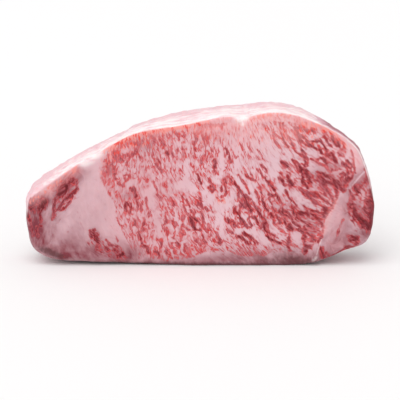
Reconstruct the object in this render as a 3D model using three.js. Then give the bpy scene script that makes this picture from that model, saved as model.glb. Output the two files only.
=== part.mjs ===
// A thick-cut raw sirloin steak, standing on its trimmed bone-side edge.
//
// Millimetres, +Z up. The cut face with the open marbling looks along -Y, the fat cap is on top, the
// tail is at -X and the chine end at +X. The origin is at the middle of the footprint, on the plane
// that the steak stands on. The steak is one grown piece, so it is one closed solid.
//
// The solid is a box of quads that is pulled onto the steak: its front and back become the two cut
// faces, its top the fat cap, its bottom the resting edge and its ends the tail and the chine end.

import * as THREE from "three";
import { mergeVertices } from "three/addons/utils/BufferGeometryUtils.js";

// ---- driving dimensions -------------------------------------------------------------------------

const LENGTH = 200; // tail nose to chine end
const HEIGHT = 91; // resting plane to the crown of the fat cap
const THICKNESS = 28; // between the two cut faces

// Quads along the length, through the thickness and up the height.
const COLUMNS = 54;
const LAYERS = 10;
const ROWS = 25;

// How much closer the quads lie at the border of a face than in its middle, from 0 to 1.
const CROWDING = 0.4;

// The rim of the front cut face, clockwise as seen from the front. x is a share of LENGTH from the
// middle, z a share of HEIGHT from the resting plane, and edge the radius in mm that rounds the rim.
const RIM = [
  { at: "tail nose", x: -0.4975, z: 0.36, edge: 3 },
  { at: "tail corner", x: -0.486, z: 0.462, edge: 2.4 },
  { at: "fat cap over the tail muscle", x: -0.394, z: 0.606, edge: 1.8 },
  { at: "fat cap over the fat wedge", x: -0.3025, z: 0.722, edge: 1.8 },
  { at: "shoulder of the eye", x: -0.223, z: 0.826, edge: 1.6 },
  { at: "bend over the eye", x: -0.168, z: 0.873, edge: 1.6 },
  { at: "first lobe", x: -0.04, z: 0.918, edge: 1.6 },
  { at: "end of the first lobe", x: 0.068, z: 0.969, edge: 1.6 },
  { at: "notch between the lobes", x: 0.12, z: 0.964, edge: 1.6 },
  { at: "crown", x: 0.195, z: 0.995, edge: 1.6 },
  { at: "fall of the second lobe", x: 0.268, z: 0.978, edge: 1.6 },
  { at: "slope to the chine", x: 0.4, z: 0.848, edge: 1.6 },
  { at: "chine corner", x: 0.4447, z: 0.762, edge: 1.8 },
  { at: "chine end, top", x: 0.4635, z: 0.685, edge: 2.2 },
  { at: "chine end, upper", x: 0.484, z: 0.55, edge: 2.4 },
  { at: "chine end, widest", x: 0.4985, z: 0.36, edge: 2.8 },
  { at: "chine foot", x: 0.477, z: 0.155, edge: 3.2 },
  { at: "undercut of the chine", x: 0.412, z: 0.092, edge: 3.4 },
  { at: "end of the resting edge", x: 0.333, z: 0.019, edge: 3.6 },
  { at: "resting edge, right", x: 0.22, z: -0.011, edge: 4.4 },
  { at: "resting edge, left", x: 0, z: -0.011, edge: 4.6 },
  { at: "start of the lift", x: -0.16, z: 0.004, edge: 4.6 },
  { at: "lifted belly edge", x: -0.31, z: 0.019, edge: 4.6 },
  { at: "tail foot, under", x: -0.428, z: 0.04, edge: 4.4 },
  { at: "tail foot", x: -0.4825, z: 0.112, edge: 4.2 },
  { at: "tail end", x: -0.496, z: 0.24, edge: 3.8 },
];

// Where the four edges of the box meet the rim.
const CORNERS = { tailTop: "tail corner", chineTop: "chine corner", chineFoot: "chine foot", tailFoot: "tail foot" };

// The knife left the back face's rim a little off the front one's: it is higher or lower than it by
// rise, in a stretch of half-width reach around x, and wider than it all round by FLARE.
const BACK_RIM_DRIFT = [
  { at: "tail corner", x: -91, rise: -1.5, reach: 7 },
  { at: "shoulder of the eye", x: -43, rise: -2.4, reach: 11 },
  { at: "first lobe", x: -8, rise: 2.3, reach: 24 },
  { at: "end of the first lobe", x: 8, rise: -2.1, reach: 10 },
  { at: "notch between the lobes", x: 22, rise: 1.4, reach: 14 },
  { at: "slope to the chine", x: 80, rise: -3.6, reach: 17 },
];
const FLARE = 1.008;

// The soft rim walls swell outwards between the two cut faces. The swell dies down along the length to
// the share of it that is left at the chine end.
const SWELL_ON_TOP = 1.1;
const SWELL_BELOW = 0.3;
const SWELL_FADE = { from: 68, to: 88, left: 0.2 };

// Relief of the cut faces: each form stands proud by rise, or is sunk where rise is negative. It lies
// at x, z, is long by 2 * along and wide by 2 * across, and turned by tilt degrees from upright,
// leaning to the right at the top.
const FACE_FORMS = [
  { at: "eye muscle", x: 18, z: 42, along: 34, across: 62, tilt: 0, rise: 0.7 },
  { at: "fat wedge", x: -66, z: 28, along: 20, across: 15, tilt: 25, rise: 0.8 },
  { at: "tail muscle", x: -77, z: 47, along: 13, across: 5, tilt: 38, rise: -1.3 },
  { at: "tail end muscle", x: -91, z: 30, along: 12, across: 4.5, tilt: 12, rise: -0.9 },
  { at: "belly muscle", x: -52, z: 13, along: 14, across: 5, tilt: -50, rise: -0.8 },
  { at: "chine muscle", x: 92, z: 30, along: 14, across: 7, tilt: -10, rise: 0.6 },
  { at: "notch", x: 24, z: 83, along: 6, across: 2.2, tilt: 0, rise: -0.6 },
];

// A tag of fat and silverskin that hangs on the front's rim at the foot of the seam.
const TAG = { x: 66, z: 4, along: 2.6, across: 2, tilt: 20, rise: 1.5 };

// The seam of fat and silverskin between the eye and the chine muscle, from top to bottom.
const SEAM = [
  [93.5, 55.5],
  [86, 47],
  [80.5, 36],
  [76, 25.5],
  [72, 15],
  [68.5, 5],
];
const SEAM_HALF_WIDTH = 2.4;
const SEAM_DEPTH = 0.7;

// ---- the rim ------------------------------------------------------------------------------------

const clamp = THREE.MathUtils.clamp;
const lerp = THREE.MathUtils.lerp;
const bell = (distance) => Math.exp(-distance * distance);

// The rim as a closed curve. Each point holds x, z and the edge radius.
function rimCurve(shift) {
  const points = RIM.map((p) => {
    const x = p.x * LENGTH;
    const z = p.z * HEIGHT;
    return shift(x, z, p.edge);
  });
  return new THREE.CatmullRomCurve3(points, true, "centripetal");
}

const frontRim = rimCurve((x, z, edge) => new THREE.Vector3(x, z, edge));

const backRim = rimCurve((x, z, edge) => {
  const onTop = z > HEIGHT / 3;
  const rise = onTop ? BACK_RIM_DRIFT.reduce((sum, d) => sum + d.rise * bell((x - d.x) / d.reach), 0) : 0;
  return new THREE.Vector3(x * FLARE, z + rise, edge);
});

// The curve parameter of a named rim point, which is the same on both rims.
const rimParameter = (name) => RIM.findIndex((p) => p.at === name) / RIM.length;

// Shares from 0 to 1 that lie closer together towards both ends.
const crowded = (share) => share - (CROWDING * Math.sin(2 * Math.PI * share)) / (2 * Math.PI);

// Curve parameters from one named rim point on to another, such that the front rim's points lie at
// crowded shares of the arc length between them.
function walk(from, to, steps) {
  const fine = 400;
  const start = rimParameter(from);
  const span = (rimParameter(to) - start + 1) % 1;
  const lengths = [0];
  let last = frontRim.getPoint(start);
  for (let i = 1; i <= fine; i++) {
    const next = frontRim.getPoint((start + (span * i) / fine) % 1);
    lengths.push(lengths[i - 1] + Math.hypot(next.x - last.x, next.y - last.y));
    last = next;
  }
  const parameters = [];
  for (let i = 0, k = 0; i <= steps; i++) {
    const wanted = crowded(i / steps) * lengths[fine];
    while (k < fine - 1 && lengths[k + 1] < wanted) k++;
    const part = (wanted - lengths[k]) / (lengths[k + 1] - lengths[k]);
    parameters.push(start + (span * (k + clamp(part, 0, 1))) / fine);
  }
  return parameters;
}

// The four sides of a face, as curve parameters: left to right, and bottom to top.
const SIDES = {
  top: walk(CORNERS.tailTop, CORNERS.chineTop, COLUMNS),
  right: walk(CORNERS.chineTop, CORNERS.chineFoot, ROWS).reverse(),
  bottom: walk(CORNERS.chineFoot, CORNERS.tailFoot, COLUMNS).reverse(),
  left: walk(CORNERS.tailFoot, CORNERS.tailTop, ROWS),
};

// Slow unevenness of soft meat, from -1 to 1, at a point in space.
function unevenness(x, y, z) {
  const long = Math.sin(0.085 * x + 0.05 * z + 0.9) * Math.cos(0.14 * y + 0.4);
  const short = Math.sin(0.21 * x - 0.17 * z + 1.7 + 0.11 * y);
  const cross = Math.cos(0.33 * z + 0.24 * y - 0.1 * x);
  return 0.5 * long + 0.3 * short + 0.2 * cross;
}

// A point of the rim wall. Walking across it from the front, share 0 is halfway round the front
// rim's rounding and share 1 halfway round the back rim's.
function wallPoint(parameter, share) {
  const t = parameter % 1;
  const front = frontRim.getPoint(t);
  const back = backRim.getPoint(t);
  const edge = front.z;

  // The walk: an eighth of a turn, the straight wall, and an eighth of a turn.
  const arc = (Math.PI / 4) * edge;
  const whole = THICKNESS - 2 * edge + 2 * arc;
  const walked = share * whole;
  let inset = 0;
  let depth = edge + walked - arc;
  const fromEnd = Math.min(walked, whole - walked);
  if (fromEnd < arc) {
    const angle = (Math.PI / 4) * (1 - fromEnd / arc);
    inset = edge * (1 - Math.cos(angle));
    const rounded = edge * (1 - Math.sin(angle));
    depth = walked < whole / 2 ? rounded : THICKNESS - rounded;
  }

  const through = depth / THICKNESS;
  const x = lerp(front.x, back.x, through);
  const z = lerp(front.y, back.y, through);
  const tangent = frontRim.getTangent(t);
  const flat = Math.hypot(tangent.x, tangent.y);
  const outX = -tangent.y / flat;
  const outZ = tangent.x / flat;
  const swell = lerp(SWELL_BELOW, SWELL_ON_TOP, clamp(z / (HEIGHT / 2), 0, 1));
  const fade = lerp(1, SWELL_FADE.left, THREE.MathUtils.smoothstep(x, SWELL_FADE.from, SWELL_FADE.to));
  const middle = fade * Math.sin(Math.PI * share);
  const out = middle * (swell + 0.7 * unevenness(x, depth, z)) - inset;
  return new THREE.Vector3(x + outX * out, depth, z + outZ * out);
}

// ---- the cut faces ------------------------------------------------------------------------------

const seamCurve = new THREE.SplineCurve(SEAM.map(([x, z]) => new THREE.Vector2(x, z)));
const seamPoints = seamCurve.getPoints(40);
const rimOutlines = [frontRim, backRim].map((rim) => rim.getPoints(1500));

// How far a form stands out at x, z.
function formRise(form, x, z) {
  const tilt = THREE.MathUtils.degToRad(form.tilt);
  const across = (x - form.x) * Math.cos(tilt) - (z - form.z) * Math.sin(tilt);
  const along = (x - form.x) * Math.sin(tilt) + (z - form.z) * Math.cos(tilt);
  return form.rise * bell(Math.hypot(across / form.across, along / form.along));
}

// How far a cut face stands out at x, z.
function faceRelief(x, z) {
  const rise = FACE_FORMS.reduce((sum, form) => sum + formRise(form, x, z), 0);
  const fromSeam = Math.min(...seamPoints.map((p) => Math.hypot(p.x - x, p.y - z)));
  return rise - SEAM_DEPTH * bell(fromSeam / SEAM_HALF_WIDTH);
}

// The nearest point of a rim: its distance, and its edge radius.
function nearestRim(outline, x, z) {
  let best = { distance: Infinity, edge: 0 };
  for (const p of outline) {
    const distance = Math.hypot(p.x - x, p.y - z);
    if (distance < best.distance) best = { distance, edge: p.z };
  }
  return best;
}

// A point of a cut face, at column i and row j, on the Coons patch between the four sides. face is
// 0 for the front and 1 for the back.
function facePoint(face, i, j) {
  const u = crowded(i / COLUMNS);
  const v = crowded(j / ROWS);
  const top = wallPoint(SIDES.top[i], face);
  const bottom = wallPoint(SIDES.bottom[i], face);
  const left = wallPoint(SIDES.left[j], face);
  const right = wallPoint(SIDES.right[j], face);
  const corner = (side, end) => wallPoint(SIDES[side][end], face);
  const patch = new THREE.Vector3()
    .addScaledVector(bottom, 1 - v)
    .addScaledVector(top, v)
    .addScaledVector(left, 1 - u)
    .addScaledVector(right, u)
    .addScaledVector(corner("bottom", 0), -(1 - u) * (1 - v))
    .addScaledVector(corner("bottom", COLUMNS), -u * (1 - v))
    .addScaledVector(corner("top", 0), -(1 - u) * v)
    .addScaledVector(corner("top", COLUMNS), -u * v);
  const { distance, edge } = nearestRim(rimOutlines[face], patch.x, patch.z);
  const level = clamp(1 - distance / edge, 0, 1);
  const rounding = edge * (1 - Math.sqrt(1 - level * level));
  patch.y = face ? THICKNESS - rounding : rounding;
  return patch;
}

// ---- the steak ----------------------------------------------------------------------------------

// Where a corner of the box's quads goes, given as whole steps along the length, the thickness and
// the height.
function steakPoint(i, layer, j) {
  const share = layer / LAYERS;
  let point;
  if (i === 0) point = wallPoint(SIDES.left[j], share);
  else if (i === COLUMNS) point = wallPoint(SIDES.right[j], share);
  else if (j === 0) point = wallPoint(SIDES.bottom[i], share);
  else if (j === ROWS) point = wallPoint(SIDES.top[i], share);
  else point = facePoint(share, i, j);

  // The cut faces' relief fades out through the thickness.
  const relief = faceRelief(point.x, point.z) + 0.5 * unevenness(point.x, 40 * share, point.z);
  point.y += relief * (2 * share - 1) - formRise(TAG, point.x, point.z) * (1 - share);

  // The weight of the meat flattens what would sink below the resting plane.
  point.z = Math.max(point.z, 0);
  return point;
}

function steakGeometry() {
  const box = new THREE.BoxGeometry(1, 1, 1, COLUMNS, LAYERS, ROWS);
  box.deleteAttribute("normal");
  box.deleteAttribute("uv");
  const position = box.getAttribute("position");
  for (let k = 0; k < position.count; k++) {
    const i = Math.round((position.getX(k) + 0.5) * COLUMNS);
    const layer = Math.round((position.getY(k) + 0.5) * LAYERS);
    const j = Math.round((position.getZ(k) + 0.5) * ROWS);
    position.setXYZ(k, ...steakPoint(i, layer, j).toArray());
  }
  const closed = mergeVertices(box);
  closed.computeBoundingBox();
  const middle = closed.boundingBox.getCenter(new THREE.Vector3());
  closed.translate(-middle.x, -middle.y, -closed.boundingBox.min.z);
  closed.computeVertexNormals();
  return closed;
}

// Raw beef, marbled so densely that lean and fat read together as a soft pink red.
const marbledBeef = new THREE.MeshStandardMaterial({
  name: "marbled_beef",
  color: new THREE.Color().setRGB(0.79, 0.47, 0.5, THREE.SRGBColorSpace),
  roughness: 0.45,
  metalness: 0,
});

const steak = new THREE.Mesh(steakGeometry(), marbledBeef);
steak.name = "steak";

const sirloin = new THREE.Group();
sirloin.add(steak);

export default sirloin;
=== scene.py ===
"""A thick-cut raw sirloin steak, marbled with fine fat, standing on its trimmed edge.

The steak is one closed surface: a dense grid for the cut face in front, a wall of rings that runs round
the rim, and a wider grid for the cut face behind. Numpy works out its shape, where lean and fat lie, and
the direction of the fibres; the material draws the fine marbling along those fibres.
Sizes are in millimetres until the mesh is written in metres.
"""

from __future__ import annotations

import json
import logging
import math
from dataclasses import dataclass, field
from enum import Enum
from typing import ClassVar

import bpy
import numpy as np
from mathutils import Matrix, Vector


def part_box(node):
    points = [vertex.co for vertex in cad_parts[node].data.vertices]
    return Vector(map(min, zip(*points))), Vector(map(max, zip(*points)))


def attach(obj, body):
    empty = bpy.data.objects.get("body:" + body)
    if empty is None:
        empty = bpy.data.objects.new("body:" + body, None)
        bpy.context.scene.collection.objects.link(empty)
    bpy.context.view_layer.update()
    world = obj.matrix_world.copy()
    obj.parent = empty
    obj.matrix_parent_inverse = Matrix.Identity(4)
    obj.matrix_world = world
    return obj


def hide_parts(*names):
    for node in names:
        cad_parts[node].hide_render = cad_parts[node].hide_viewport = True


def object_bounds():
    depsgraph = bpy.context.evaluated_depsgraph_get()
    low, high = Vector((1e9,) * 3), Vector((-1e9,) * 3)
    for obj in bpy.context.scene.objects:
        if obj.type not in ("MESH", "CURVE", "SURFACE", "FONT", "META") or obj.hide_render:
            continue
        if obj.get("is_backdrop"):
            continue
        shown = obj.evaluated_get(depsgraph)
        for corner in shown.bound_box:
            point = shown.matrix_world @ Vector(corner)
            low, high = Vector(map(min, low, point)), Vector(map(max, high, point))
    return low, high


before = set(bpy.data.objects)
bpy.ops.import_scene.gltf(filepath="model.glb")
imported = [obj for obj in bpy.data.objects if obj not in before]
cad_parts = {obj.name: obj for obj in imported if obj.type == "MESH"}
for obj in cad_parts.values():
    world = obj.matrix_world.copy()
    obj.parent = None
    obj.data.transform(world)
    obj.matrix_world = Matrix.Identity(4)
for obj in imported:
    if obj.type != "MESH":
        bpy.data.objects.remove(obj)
CAD_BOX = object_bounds()

LOG = logging.getLogger("steak")
MM = 0.001
NODE = "steak"

RIM_SAMPLES = 1200
WALK_SAMPLES = 2000
POINTS_AT_ONCE = 6000
EIGHTH_TURN = math.pi / 4.0

Array = np.ndarray
Span = tuple[float, float]
Triple = tuple[float, float, float]
Rgba = tuple[float, float, float, float]
Stops = tuple[tuple[float, Rgba], ...]
Wave = tuple[float, ...]


# ---- numbers and noise --------------------------------------------------------------------------


def smoothstep(low: float, high: float, value: Array) -> Array:
    """Rises from 0 at low to 1 at high with flat ends: 3t^2 - 2t^3."""
    t = np.clip((value - low) / (high - low), 0.0, 1.0)
    return t * t * (3.0 - 2.0 * t)


def bell(distance: Array) -> Array:
    """A bell curve, exp(-d^2): 1 at distance 0 and about a third at 1."""
    return np.exp(-distance * distance)


def mix(low: Array, high: Array, share: Array) -> Array:
    """Blends from low at share 0 to high at share 1."""
    return low + (high - low) * share


def rows_of(kind: type, *rows: tuple) -> tuple:
    """One object of a kind for each row of its fields."""
    return tuple(kind(*row) for row in rows)


def walked(points: Array) -> Array:
    """The length walked along a line of points, up to each of them."""
    return np.concatenate([[0.0], np.cumsum(np.linalg.norm(np.diff(points, axis=0), axis=1))])


def gap_to_lines(x: Array, z: Array, starts: Array, ends: Array) -> Array:
    """How far each point lies from the nearest of the straight lines from starts to ends.

    Args:
        x: Places along the steak, in mm.
        z: Heights, in mm.
        starts: Rows of x, z, one for each line.
        ends: Rows of x, z.

    Returns:
        One distance for each point.
    """
    side = ends - starts
    dx, dz = x[:, None] - starts[:, 0], z[:, None] - starts[:, 1]
    share = np.clip((dx * side[:, 0] + dz * side[:, 1]) / (side**2).sum(1), 0.0, 1.0)
    return np.hypot(dx - share * side[:, 0], dz - share * side[:, 1]).min(1)


@dataclass(frozen=True)
class SoftNoise:
    """Smooth random relief, the same on every run.

    Each corner of a unit lattice gets a value from a hash of its whole coordinates and the seed, and the
    corners are blended with smooth weights.
    """

    seed: int
    axis_primes: ClassVar[tuple[int, ...]] = (374761393, 668265263, 2246822519)
    seed_prime: ClassVar[int] = 3266489917
    rounds: ClassVar[tuple[tuple[int, int], ...]] = ((15, 2654435761), (13, 1274126177), (16, 1))

    def _corner(self, whole: list[Array]) -> Array:
        """The value from -1 to 1 at whole lattice corners.

        Args:
            whole: The corners' three whole coordinates.

        Returns:
            One value for each corner.
        """
        h = sum(index * np.uint32(prime) for index, prime in zip(whole, self.axis_primes))
        h = h + np.uint32(self.seed * self.seed_prime % 2**32)
        for shift, prime in self.rounds:
            h = (h ^ (h >> np.uint32(shift))) * np.uint32(prime)
        return h.astype(np.float64) / 2.0**31 - 1.0

    def at(self, x: Array, y: Array, z: Array) -> Array:
        """Noise from -1 to 1.

        Args:
            x: First coordinates, in lattice cells.
            y: Second coordinates.
            z: Third coordinates.

        Returns:
            One value for each point.
        """
        x, y, z = np.broadcast_arrays(x, y, z)
        whole = [np.floor(c) for c in (x, y, z)]
        blend = [smoothstep(0.0, 1.0, c - w) for c, w in zip((x, y, z), whole)]
        low = [w.astype(np.int64).astype(np.uint32) for w in whole]
        total = np.zeros(x.shape)
        for corner in range(8):
            steps = [(corner >> axis) & 1 for axis in range(3)]
            weight = np.ones(x.shape)
            for share, step in zip(blend, steps):
                weight = weight * (share if step else 1.0 - share)
            total += weight * self._corner([c + np.uint32(s) for c, s in zip(low, steps)])
        return total


# ---- the rim ------------------------------------------------------------------------------------


@dataclass(frozen=True)
class RimPoint:
    """A landmark of the rim: shares of the length and the height, and the radius that rounds it in mm."""

    name: str
    x: float
    z: float
    edge: float


@dataclass(frozen=True)
class Drift:
    """A stretch where the back rim lies higher or lower than the front rim, in mm."""

    x: float
    rise: float
    reach: float


class Rim:
    """A closed centripetal Catmull-Rom curve whose points hold x, z and edge radius."""

    def __init__(self, points: Array) -> None:
        """Works out the cubic of each span.

        Args:
            points: One row of x, z, edge for each landmark.
        """
        before, start = np.roll(points, 1, 0), points
        end, after = np.roll(points, -1, 0), np.roll(points, -2, 0)
        gap0, gap1, gap2 = (
            np.sqrt(np.linalg.norm(b - a, axis=1))[:, None]
            for a, b in ((before, start), (start, end), (end, after))
        )
        leave = (start - before) / gap0 - (end - before) / (gap0 + gap1) + (end - start) / gap1
        reach = (end - start) / gap1 - (after - start) / (gap1 + gap2) + (after - end) / gap2
        leave, reach = leave * gap1, reach * gap1
        square = -3.0 * start + 3.0 * end - 2.0 * leave - reach
        cube = 2.0 * start - 2.0 * end + leave + reach
        self.cubic = (start, leave, square, cube)
        self.count = len(points)

    def _span(self, t: Array) -> tuple[Array, Array]:
        """The span that each parameter falls in, and how far along it.

        Args:
            t: Curve parameters.

        Returns:
            The numbers of the spans, and shares from 0 to 1.
        """
        along = (t % 1.0) * self.count
        span = np.minimum(along.astype(int), self.count - 1)
        return span, (along - span)[..., None]

    def at(self, t: Array) -> Array:
        """The rows x, z, edge at curve parameters t, which run round from 0 to 1.

        Args:
            t: Curve parameters.

        Returns:
            One row for each parameter.
        """
        span, w = self._span(t)
        a, b, c, d = (part[span] for part in self.cubic)
        return a + w * (b + w * (c + w * d))

    def outward(self, t: Array) -> Array:
        """Unit rows x, z that point out of the rim, which runs clockwise seen from the front.

        Args:
            t: Curve parameters.

        Returns:
            One row for each parameter.
        """
        span, w = self._span(t)
        _, b, c, d = (part[span] for part in self.cubic)
        heading = b + w * (2.0 * c + 3.0 * w * d)
        out = np.stack([-heading[..., 1], heading[..., 0]], -1)
        return out / np.linalg.norm(out, axis=-1, keepdims=True)


# ---- the form -----------------------------------------------------------------------------------


@dataclass(frozen=True)
class Patch:
    """A soft oval on a cut face.

    x, z is its middle, along and across are its half-lengths in mm, and lean tilts its long axis, in
    degrees from upright, towards the right at the bottom. weight is how much it adds, then comes how far
    it takes the dusky colour of stained places, and dark is how much darker its lean is. In the wide
    regions these two are painted shade, darker towards the ends and the foot and lighter at the top.
    """

    x: float
    z: float
    along: float
    across: float
    lean: float
    weight: float
    stain: float = 0.0
    dark: float = 0.0

    def at(self, x: Array, z: Array) -> Array:
        """The oval's bell-shaped strength at points of the face, 1 in its middle.

        Args:
            x: Places along the steak, in mm.
            z: Heights, in mm.

        Returns:
            Values from 0 to 1.
        """
        angle = math.radians(self.lean)
        dx, dz = x - self.x, z - self.z
        across = (dx * math.cos(angle) + dz * math.sin(angle)) / self.across
        along = (dx * math.sin(angle) - dz * math.cos(angle)) / self.along
        return bell(np.hypot(across, along))


@dataclass(frozen=True)
class Strand:
    """A strand of lean, a channel of fat, or a dusky mark of stained places and painted shade on the cut
    face.

    It is width mm wide, and dark is how dark its lean is, or how deep its dusky colour, which along the
    foot and the ends is painted shade, from 0 to 1. path holds x, z, x, z and so on, in mm.
    """

    width: float
    dark: float
    path: tuple[float, ...]
    softness: ClassVar[float] = 0.55
    reach: ClassVar[float] = 1.5

    def at(self, x: Array, z: Array) -> Array:
        """The strand's strength at points of the face: 1 on its path, about half at half its width.

        Args:
            x: Places along the steak, in mm.
            z: Heights, in mm.

        Returns:
            Values from 0 to 1.
        """
        points = np.array(self.path, float).reshape(-1, 2)
        reach = self.reach * self.width
        low, high = points.min(0) - reach, points.max(0) + reach
        near = np.flatnonzero((x > low[0]) & (x < high[0]) & (z > low[1]) & (z < high[1]))
        gap = gap_to_lines(x[near], z[near], points[:-1], points[1:])
        strength = np.zeros(len(x))
        strength[near] = bell(gap / (self.softness * self.width))
        return strength


def strands(*rows: tuple[float, ...]) -> tuple[Strand, ...]:
    """A strand for each row of its width, how dark it is, and then the x and z of each of its points."""
    return tuple(Strand(row[0], row[1], row[2:]) for row in rows)


@dataclass
class Skin:
    """The steak's surface as arrays: one row for each vertex, and the faces that join them.

    share runs through the thickness from 0 at the front face to 1 at the back one. t is the rim parameter
    of a wall vertex. inside is how far a vertex of a cut face lies from the rim, and 0 on the wall.
    """

    points: Array
    share: Array
    t: Array
    inside: Array
    quads: Array
    joints: Array
    wall: Array

    def normals(self) -> Array:
        """Unit vertex normals, from the areas of the faces that meet there.

        Returns:
            Rows of x, y, z, of length 1.
        """
        total = np.zeros_like(self.points)
        for faces in (self.quads, self.joints):
            p = self.points[faces]
            face = np.cross(p[:, 2] - p[:, 0], p[:, -1] - p[:, 1])
            for corner in range(faces.shape[1]):
                for axis in range(3):
                    total[:, axis] += np.bincount(faces[:, corner], face[:, axis], len(total))
        return total / np.linalg.norm(total, axis=1, keepdims=True)


@dataclass
class SteakForm:
    """The shape of the steak, as the solid model has it, on a finer grid.

    Lengths are in mm. Each wave of the unevenness has a size, its rates along x, y and z in radians for
    each mm, and a phase. Rings are shares of the way across the wall.
    """

    length: float = 200.0
    height: float = 91.0
    thickness: float = 28.0
    columns: int = 384
    rows: int = 172
    swell_on_top: float = 1.1
    swell_below: float = 0.3
    swell_fade: Triple = (68.0, 88.0, 0.2)
    wall_unevenness: float = 0.7
    face_unevenness: float = 0.5
    face_wave_depth: float = 40.0
    waves: tuple[Wave, ...] = (
        (0.25, 0.085, 0.14, 0.05, 1.3),
        (0.25, 0.085, -0.14, 0.05, 0.5),
        (0.3, 0.21, 0.11, -0.17, 1.7),
        (0.2, -0.1, 0.24, 0.33, math.pi / 2.0),
    )
    drift_above: float = 91.0 / 3.0
    flare: float = 1.008
    seam_half_width: float = 2.4
    seam_depth: float = 0.7
    rim: tuple[RimPoint, ...] = rows_of(
        RimPoint,
        ("tail nose", -0.4975, 0.36, 3.0),
        ("tail corner", -0.486, 0.462, 2.4),
        ("fat cap over the tail muscle", -0.394, 0.606, 1.8),
        ("fat cap over the fat wedge", -0.3025, 0.722, 1.8),
        ("shoulder of the eye", -0.223, 0.826, 1.6),
        ("bend over the eye", -0.168, 0.873, 1.6),
        ("first lobe", -0.04, 0.918, 1.6),
        ("end of the first lobe", 0.068, 0.969, 1.6),
        ("notch between the lobes", 0.12, 0.964, 1.6),
        ("crown", 0.195, 0.995, 1.6),
        ("fall of the second lobe", 0.268, 0.978, 1.6),
        ("slope to the chine", 0.4, 0.848, 1.6),
        ("chine corner", 0.4447, 0.762, 1.8),
        ("chine end, top", 0.4635, 0.685, 2.2),
        ("chine end, upper", 0.484, 0.55, 2.4),
        ("chine end, widest", 0.4985, 0.36, 2.8),
        ("chine foot", 0.477, 0.155, 3.2),
        ("undercut of the chine", 0.412, 0.092, 3.4),
        ("end of the resting edge", 0.333, 0.019, 3.6),
        ("resting edge, right", 0.22, -0.011, 4.4),
        ("resting edge, left", 0.0, -0.011, 4.6),
        ("start of the lift", -0.16, 0.004, 4.6),
        ("lifted belly edge", -0.31, 0.019, 4.6),
        ("tail foot, under", -0.428, 0.04, 4.4),
        ("tail foot", -0.4825, 0.112, 4.2),
        ("tail end", -0.496, 0.24, 3.8),
    )
    drifts: tuple[Drift, ...] = rows_of(
        Drift,
        (-91.0, -1.5, 7.0),
        (-43.0, -2.4, 11.0),
        (-8.0, 2.3, 24.0),
        (8.0, -2.1, 10.0),
        (22.0, 1.4, 14.0),
        (80.0, -3.6, 17.0),
    )
    bulges: tuple[Patch, ...] = rows_of(
        Patch,
        (18, 42, 34, 62, 0, 0.7),
        (-66, 28, 20, 15, -25, 0.8),
        (-77, 47, 13, 5, -38, -1.3),
        (-91, 30, 12, 4.5, -12, -0.9),
        (-52, 13, 14, 5, 50, -0.8),
        (92, 30, 14, 7, 10, 0.6),
        (24, 83, 6, 2.2, 0, -0.6),
    )
    foot_shades: tuple[Patch, ...] = rows_of(
        Patch,
        (-86, 8, 10, 2.6, 68, 0.95),
        (52, 2, 6, 24, 0, 0.75),
    )
    tag: Patch = Patch(66.0, 4.0, 2.6, 2.0, -20.0, 1.5)
    seam: tuple[Span, ...] = (
        (93.5, 55.5), (86.0, 47.0), (80.5, 36.0), (76.0, 25.5), (72.0, 15.0), (68.5, 5.0),
    )  # fmt: skip
    front_rings: tuple[float, ...] = (0.016, 0.034, 0.055, 0.08)
    back_rings: tuple[float, ...] = (
        0.12, 0.19, 0.28, 0.38, 0.48, 0.58, 0.68, 0.77, 0.85, 0.91, 0.95, 0.98,
    )  # fmt: skip

    def __post_init__(self) -> None:
        """Makes the two rims and measures the outlines of the cut faces."""
        scale = np.array([self.length, self.height, 1.0])
        front = np.array([[p.x, p.z, p.edge] for p in self.rim]) * scale
        back = front.copy()
        lift = sum(d.rise * bell((front[:, 0] - d.x) / d.reach) for d in self.drifts)
        back[:, 0] *= self.flare
        back[:, 1] += np.where(front[:, 1] > self.drift_above, lift, 0.0)
        self.front, self.back = Rim(front), Rim(back)
        self.names = [p.name for p in self.rim]
        self.seam_line = self._open_curve(np.array(self.seam))

    @staticmethod
    def _open_curve(points: Array, steps: int = 60) -> Array:
        """A smooth polyline near the points, each coordinate the best cubic of the walked share.

        Args:
            points: Rows of x, z.
            steps: How many points the line gets.

        Returns:
            The line's points, rows of x, z.
        """
        length = walked(points)
        share = length / length[-1]
        fine = np.linspace(0.0, 1.0, steps)
        return np.stack([np.polyval(np.polyfit(share, points[:, i], 3), fine) for i in range(2)], -1)

    def _walk(self, start: str, end: str, steps: int) -> Array:
        """Rim parameters from one landmark on to another, evenly spaced along the front rim.

        Args:
            start: The first landmark's name.
            end: The last one's name.
            steps: How many steps to take.

        Returns:
            steps + 1 rim parameters.
        """
        first, last = (self.names.index(name) / len(self.names) for name in (start, end))
        t = np.linspace(first, first + (last - first) % 1.0, WALK_SAMPLES)
        length = walked(self.front.at(t)[:, :2])
        return np.interp(np.linspace(0.0, length[-1], steps + 1), length, t)

    def unevenness(self, x: Array, y: Array, z: Array) -> Array:
        """Slow unevenness of soft meat from -1 to 1, the sum of the waves."""
        return sum(size * np.sin(a * x + b * y + c * z + phase) for size, a, b, c, phase in self.waves)

    def wall(self, t: Array, share: Array | float) -> Array:
        """Points of the rim wall.

        The way across the wall is an eighth of a turn round the front edge, a straight stretch and an
        eighth of a turn round the back edge. The soft wall swells out between them by a half sine.

        Args:
            t: Rim parameters.
            share: Share of the way across, 0 at the front and 1 at the back.

        Returns:
            Rows of x, y, z.
        """
        front, back = self.front.at(t), self.back.at(t)
        edge = front[:, 2]
        arc = EIGHTH_TURN * edge
        whole = self.thickness - 2.0 * edge + 2.0 * arc
        across = share * whole
        from_end = np.minimum(across, whole - across)
        angle = EIGHTH_TURN * np.clip(1.0 - from_end / arc, 0.0, 1.0)
        inset = edge * (1.0 - np.cos(angle))
        rounded = edge * (1.0 - np.sin(angle))
        rounded = np.where(across < whole / 2.0, rounded, self.thickness - rounded)
        depth = np.where(from_end < arc, rounded, edge + across - arc)

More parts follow.
